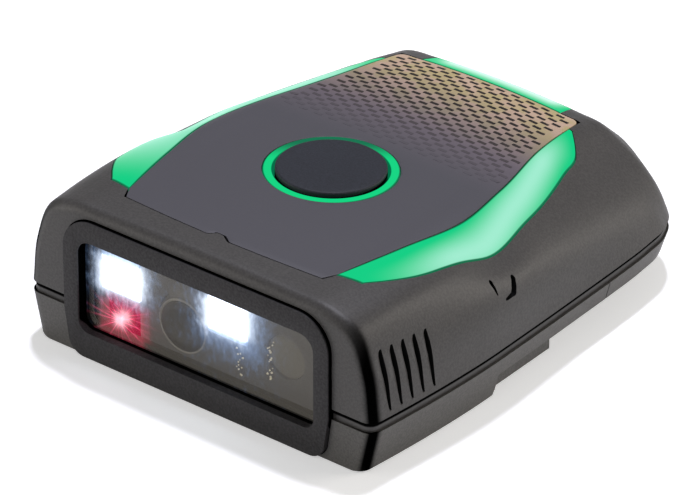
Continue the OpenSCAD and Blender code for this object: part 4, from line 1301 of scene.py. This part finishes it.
@dataclass
class Top:
    """The printed panel, the light guides, the ring and the trigger button."""

    plan: TopPlan
    button: ButtonPlace
    film: PrintedFilm
    dash_pitch: float = 2.06
    dash_row: float = 0.72
    dash_length: float = 1.12
    dash_width: float = 0.42
    dash_corner: float = 0.1
    margin: float = 0.75  # between the print and the panel's edge
    panel_thick: float = 0.8
    guide_thick: float = 1.0

    def panel(self) -> None:
        """Builds and dresses the panel with its printed dashes."""
        item = self.plan.slab("printed_panel", self.plan.panel(0.0), 0.0, self.panel_thick)
        carve(item, [self.button.plug(self.button.ring / 2 + self.button.seat, -4.0, 4.0)])
        ease_edges(item, 0.07, 50)
        hand_over(item, self.film.panel(), "panel", "top_panel")
        self.dashes()

    def dashes(self) -> None:
        """Prints rows of short dashes on the rear of the panel."""
        spots, ups = [], []
        e = 0.05  # step for the lean of the skin
        for i in range(int((self.plan.end - self.film.fade_start) / self.dash_row)):
            y = self.plan.end - self.margin - i * self.dash_row
            half = float(self.plan.half(np.array([y]))[0]) - self.margin
            reach = half if i else half - 1.0  # the last row keeps clear of the round corners
            n = int(half / self.dash_pitch) + 1
            for x in (j * self.dash_pitch + self.dash_pitch / 2 * (i % 2) for j in range(-n, n + 1)):
                if abs(x) > reach:
                    continue
                z, zx, zy = self.plan.skin.height(np.array([x, x + e, x]), np.array([y, y, y + e]))
                spots.append((x, y, z + 0.004))
                ups.append(tuple(Vector((-(zx - z) / e, -(zy - z) / e, 1.0)).normalized()))
        r = self.dash_corner
        a, b = self.dash_length / 2 - r, self.dash_width / 2 - r
        corners = [(sx * a + r * math.cos(t), sy * b + r * math.sin(t))
                   for sx, sy, q in ((1, 1, 0), (-1, 1, 1), (-1, -1, 2), (1, -1, 3))
                   for t in ((q + s) * math.pi / 2 for s in (0, 0.5, 1))]
        ink = self.film.ink()
        item = repeat_on_points("printed_dashes", spots, prism("dash", corners, -0.03, 0.012), ink, ups)
        hand_over(item, ink, "panel")

    def guides(self) -> None:
        """Builds and dresses the three light guides."""
        # the camera sees the left guide along its lamps, so it looks pale over its whole width
        for name, grid, looks in (("left", self.plan.side(-1, 0.0), {"spread": 2.0}),
                                  ("right", self.plan.side(1, 0.0), {}),
                                  ("rear", self.plan.rear(0.0), {"pale": "#d4fff0", "cross": True})):
            item = self.plan.slab("glow_" + name, grid, 0.0, self.guide_thick)
            ease_edges(item, 0.1, 50)
            finish = LitGuide(f"frosted acrylic {name} light guide", **looks).material()
            hand_over(item, finish, "light_guide", "light_guide_" + name)

    def ring(self) -> None:
        """Builds and dresses the light ring."""
        b, ease = self.button, 0.12
        r0, r1 = b.cap / 2 + b.gap + 0.1, b.ring / 2 - 0.02
        item = b.turned("glow_ring", [(r0, -b.deep), (r1, -b.deep), (r1, -ease), (r1 - ease, 0.0),
                                      (r0 + ease, 0.0), (r0, -ease)])
        hand_over(item, LitRing(r0, r1, b.y).material(), "light_guide", "button_light_ring")

    def cap(self, finish: Material) -> None:
        """Builds and dresses the trigger button: a flat rubber cap with a rounded rim."""
        b = self.button
        r, rim = b.cap / 2 - 0.02, 0.3
        top = -b.deep - 0.05  # of the flange
        low = top - b.flange_thick
        stem = [(0, b.stem_end), (b.stem, b.stem_end), (b.stem, low), (b.flange, low), (b.flange, top), (r, top)]
        edge = [(r - rim + rim * math.cos(a), b.proud - rim + rim * math.sin(a)) for a in np.radians(range(0, 91, 15))]
        # the flat of the cap is dished by a tenth of a millimetre
        flat = r - rim - 0.5
        dish = [(flat - flat * s, b.proud - 0.1 * math.sin(s * math.pi / 2)) for s in (0, 0.2, 0.45, 0.7, 1.0)]
        item = b.turned("trigger_cap", stem + edge + dish)
        hand_over(item, finish, "button", "trigger_button", body=Body.BUTTON, smooth=40)


@dataclass(frozen=True)
class Inside:
    """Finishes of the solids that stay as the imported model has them."""

    painted_glows: tuple[PaintedGlow, ...]

    def finishes(self) -> dict:
        """Returns the nodes of each finish."""
        return {
            MouldedPlastic("black glass filled nylon", "#24221f", 0.4, 0.25, 0.01): "cradle_rail processor buzzer",
            MouldedPlastic("green solder mask", "#1d4a34", 0.35, 0.4):
                "illumination_board image_sensor_board main_board",
            MouldedPlastic("cream ceramic", "#e6e0cf"): "antenna board_connector",
            MouldedPlastic("black closed cell foam", "#1f1f21", 0.9, depth=0.05): "cell_foam",
            MouldedPlastic("laminated cell foil", "#9ea3a8", 0.35, 0.8, 0.01): "battery_cell",
            MouldedPlastic("amber polyimide film", "#b5651d", 0.35, 0.4): "engine_flex",
            MouldedPlastic("clear epoxy lamp", "#e9f6ee", 0.3): "status_leds illumination_leds",
            MouldedPlastic("red epoxy lamp", "#a01028", 0.3): "aimer_led",
            MouldedPlastic("coated lens glass", "#45434a", 0.1, 0.5, 0.001): "camera_lens",
            # the parts behind the window shine with painted lamp light
            MouldedPlastic("brown grey nylon in lamp light", "#646260", depth=0.01, glow=0.85):
                "engine_chassis camera_barrel",
            MouldedPlastic("grey gasket in lamp light", "#5a5752", 0.6, depth=0.01, glow=0.7): "window_gasket",
            MouldedPlastic("pale moulded optic", "#6d6a64", 0.25, 0.5, 0.002, glow=0.85): "range_optic",
            MouldedPlastic("red moulded aiming lens", "#7a1230", 0.2, 0.5, 0.001, glow=0.85): "aimer_lens",
            PlainMetal("tinned steel", "#b9b8b4"):
                "trigger_switch shield_can vibration_motor rail_screws housing_screws board_screws",
            PlainMetal("turned brass", "#c7a24a"): "charge_contacts screw_inserts",
            WindowPane(self.painted_glows): "scan_window",
            LampPair(): "illumination_lenses",
        }

    def dress(self) -> None:
        """Gives every remaining node its finish through its material slots."""
        for finish, names in self.finishes().items():
            material = finish.material()
            for item in (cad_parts[name] for name in names.split()):
                if not item.material_slots:
                    item.data.materials.append(material)
                for slot in item.material_slots:
                    slot.material = material


# Studio


@dataclass(frozen=True)
class Studio:
    """The camera at the photograph's angle, the floor and the soft lights."""

    eye: tuple[float, float, float] = (346.2, -439.75, 344.6)
    look: tuple[float, float, float] = (-0.5325, 0.6694, -0.5180)
    lens: float = 317.65
    room: float = 0.24  # strength of the room's even light, and what the camera sees is 1
    shine: float = 0.45  # how much white the floor adds where it is seen
    floor_half: float = 3.0  # in metres

    def stand(self, data: bpy.types.ID, place: Sequence[float], look: Vector) -> Piece:
        """Places a camera or lamp.

        Args:
            data: The camera or lamp.
            place: Where it stands, in metres.
            look: The way it faces.

        Returns:
            The new object.
        """
        item = bpy.data.objects.new(data.name, data)
        item.location = place
        item.rotation_euler = look.to_track_quat("-Z", "Y").to_euler()
        bpy.context.scene.collection.objects.link(item)
        return item

    def camera(self) -> None:
        """Sets up the camera."""
        data = bpy.data.cameras.new("camera")
        data.lens = self.lens
        data.sensor_width = 36.0
        data.clip_start, data.clip_end = 0.02, 20.0
        bpy.context.scene.camera = self.stand(data, Vector(self.eye) * MM, Vector(self.look))

    def lamp(self, name: str, place: Sequence[float], height: float, size: tuple[float, float], power: float,
             colour: str) -> None:
        """Adds one soft box.

        Args:
            name: Its name.
            place: Where it stands, in metres.
            height: Height of the point over the frame's origin that it faces, in metres.
            size: Width and height in metres.
            power: Power in watts.
            colour: Its colour.
        """
        data = bpy.data.lights.new(name, "AREA")
        data.shape = "RECTANGLE"
        data.size, data.size_y = size
        data.energy = power
        data.color = linear(colour)[:3]
        self.stand(data, place, Vector((0, 0, height)) - Vector(place))

    def lights(self) -> None:
        """Sets up the soft boxes and the even light of the room."""
        self.lamp("key", (-0.165, 0.27, 1.1), 0.0, (0.08, 0.08), 8.0, "#f0f0ff")
        self.lamp("front_left", (-0.9, -0.8, 0.25), 0.01, (0.7, 0.4), 4.2, "#fffaf4")
        self.lamp("right", (0.74, 0.78, 0.42), 0.01, (0.6, 0.4), 5.2, "#fff8ef")
        graph = Graph("room", world=True)
        level = graph.rays("Is Camera Ray", "Is Transmission Ray") * (1 - self.room) + self.room
        bpy.context.scene.world = graph.close(graph.add("Background", {"Color": "#ffffff", "Strength": level}))

    def floor(self) -> None:
        """Lays the white floor, which keeps the scanner's soft shadow."""
        s = self.floor_half
        item = mesh_object("floor", [(-s, -s, 0), (s, -s, 0), (s, s, 0), (-s, s, 0)], [[0, 1, 2, 3]])
        item.location.z = -0.0001
        graph = Graph("white paper floor")
        seen = graph.rays("Is Camera Ray", "Is Glossy Ray", "Is Transmission Ray")
        paper = graph.principled("#f0f0f0", 0.9, 0.1, shine=("#ffffff", seen * self.shine))
        item.data.materials.append(graph.close(paper))

    def build(self) -> None:
        """Builds the studio."""
        self.camera()
        self.lights()
        self.floor()
        bpy.context.scene.view_settings.view_transform = "Standard"


def main() -> None:
    """Builds every piece in order."""
    logging.basicConfig(level=logging.INFO, format="%(message)s")
    Studio().build()
    # the last colour, #030303, is the painted dark reflection on the front corner
    shell, lower = (MouldedPlastic(name, tone, 0.5, 0.26, 0.03, 0.2, 0.4, "#030303").material() for name, tone in (
        # the lower housing is painted paler than the upper one, to stand for the light on its sides
        ("textured ABS blend", "#444240"), ("textured ABS blend, worn paler", "#52504d")))
    # black painted shade, for cuts and gaps
    painted_lining = MouldedPlastic("shaded cut in the mould", "#050505", 0.8, gloss=0.1).material()
    # green painted light of the guides, for the cuts beside them
    lit = MouldedPlastic("cut lit by the guide beside it", "#053d2b", 0.8, gloss=0.1, glow=0.25).material()
    # the seal's black band is painted shadow under the upper housing's overhang
    seal = MouldedPlastic("silicone seal", "#3c3a38", depth=0.01, shadow_lines=((6.2, 0.18),))
    # the bezel's walls are painted black as shade from just behind its face, and further in on the sill
    rubber = MouldedPlastic("overmoulded elastomer", "#282627", 0.65, 0.28, 0.06, 0.42, 0.35, shade=(-0.42, -0.2))
    # the cap's black band is painted shadow in the gap beside the ring
    cap = MouldedPlastic("silicone button cap", "#23262e", 0.6, 0.22, 0.03, 0.25, 0.35, shadow_lines=((18.15, 0.14),))
    # painted lamp light on the beads, barrel and rim; the bright beads are painted glints
    beads, barrel, rim = (MouldedPlastic(name, tone, rough, glow=glow).material() for name, tone, rough, glow in (
        ("solder beads in lamp light", "#c4bda8", 0.3, 0.9), ("dark grey barrel in lamp light", "#4f4d4a", 0.4, 0.85),
        ("grey lens rim", "#7d7a74", 0.4, 0.85)))
    skin, plan, button = Skin(), TopPlan(), ButtonPlace()
    housings = Housings(skin, plan, button)
    housings.upper(shell, painted_lining, lit)
    housings.lower(lower, painted_lining)
    housings.seal(seal.material())
    top = Top(plan, button, PrintedFilm())
    top.panel()
    top.guides()
    top.ring()
    top.cap(cap.material())
    front = Front()
    front.bezel(rubber.material())
    front.dots(beads)
    front.camera_eye(barrel, rim)
    Inside(front.painted_glows).dress()


if __name__ == "__main__":
    main()
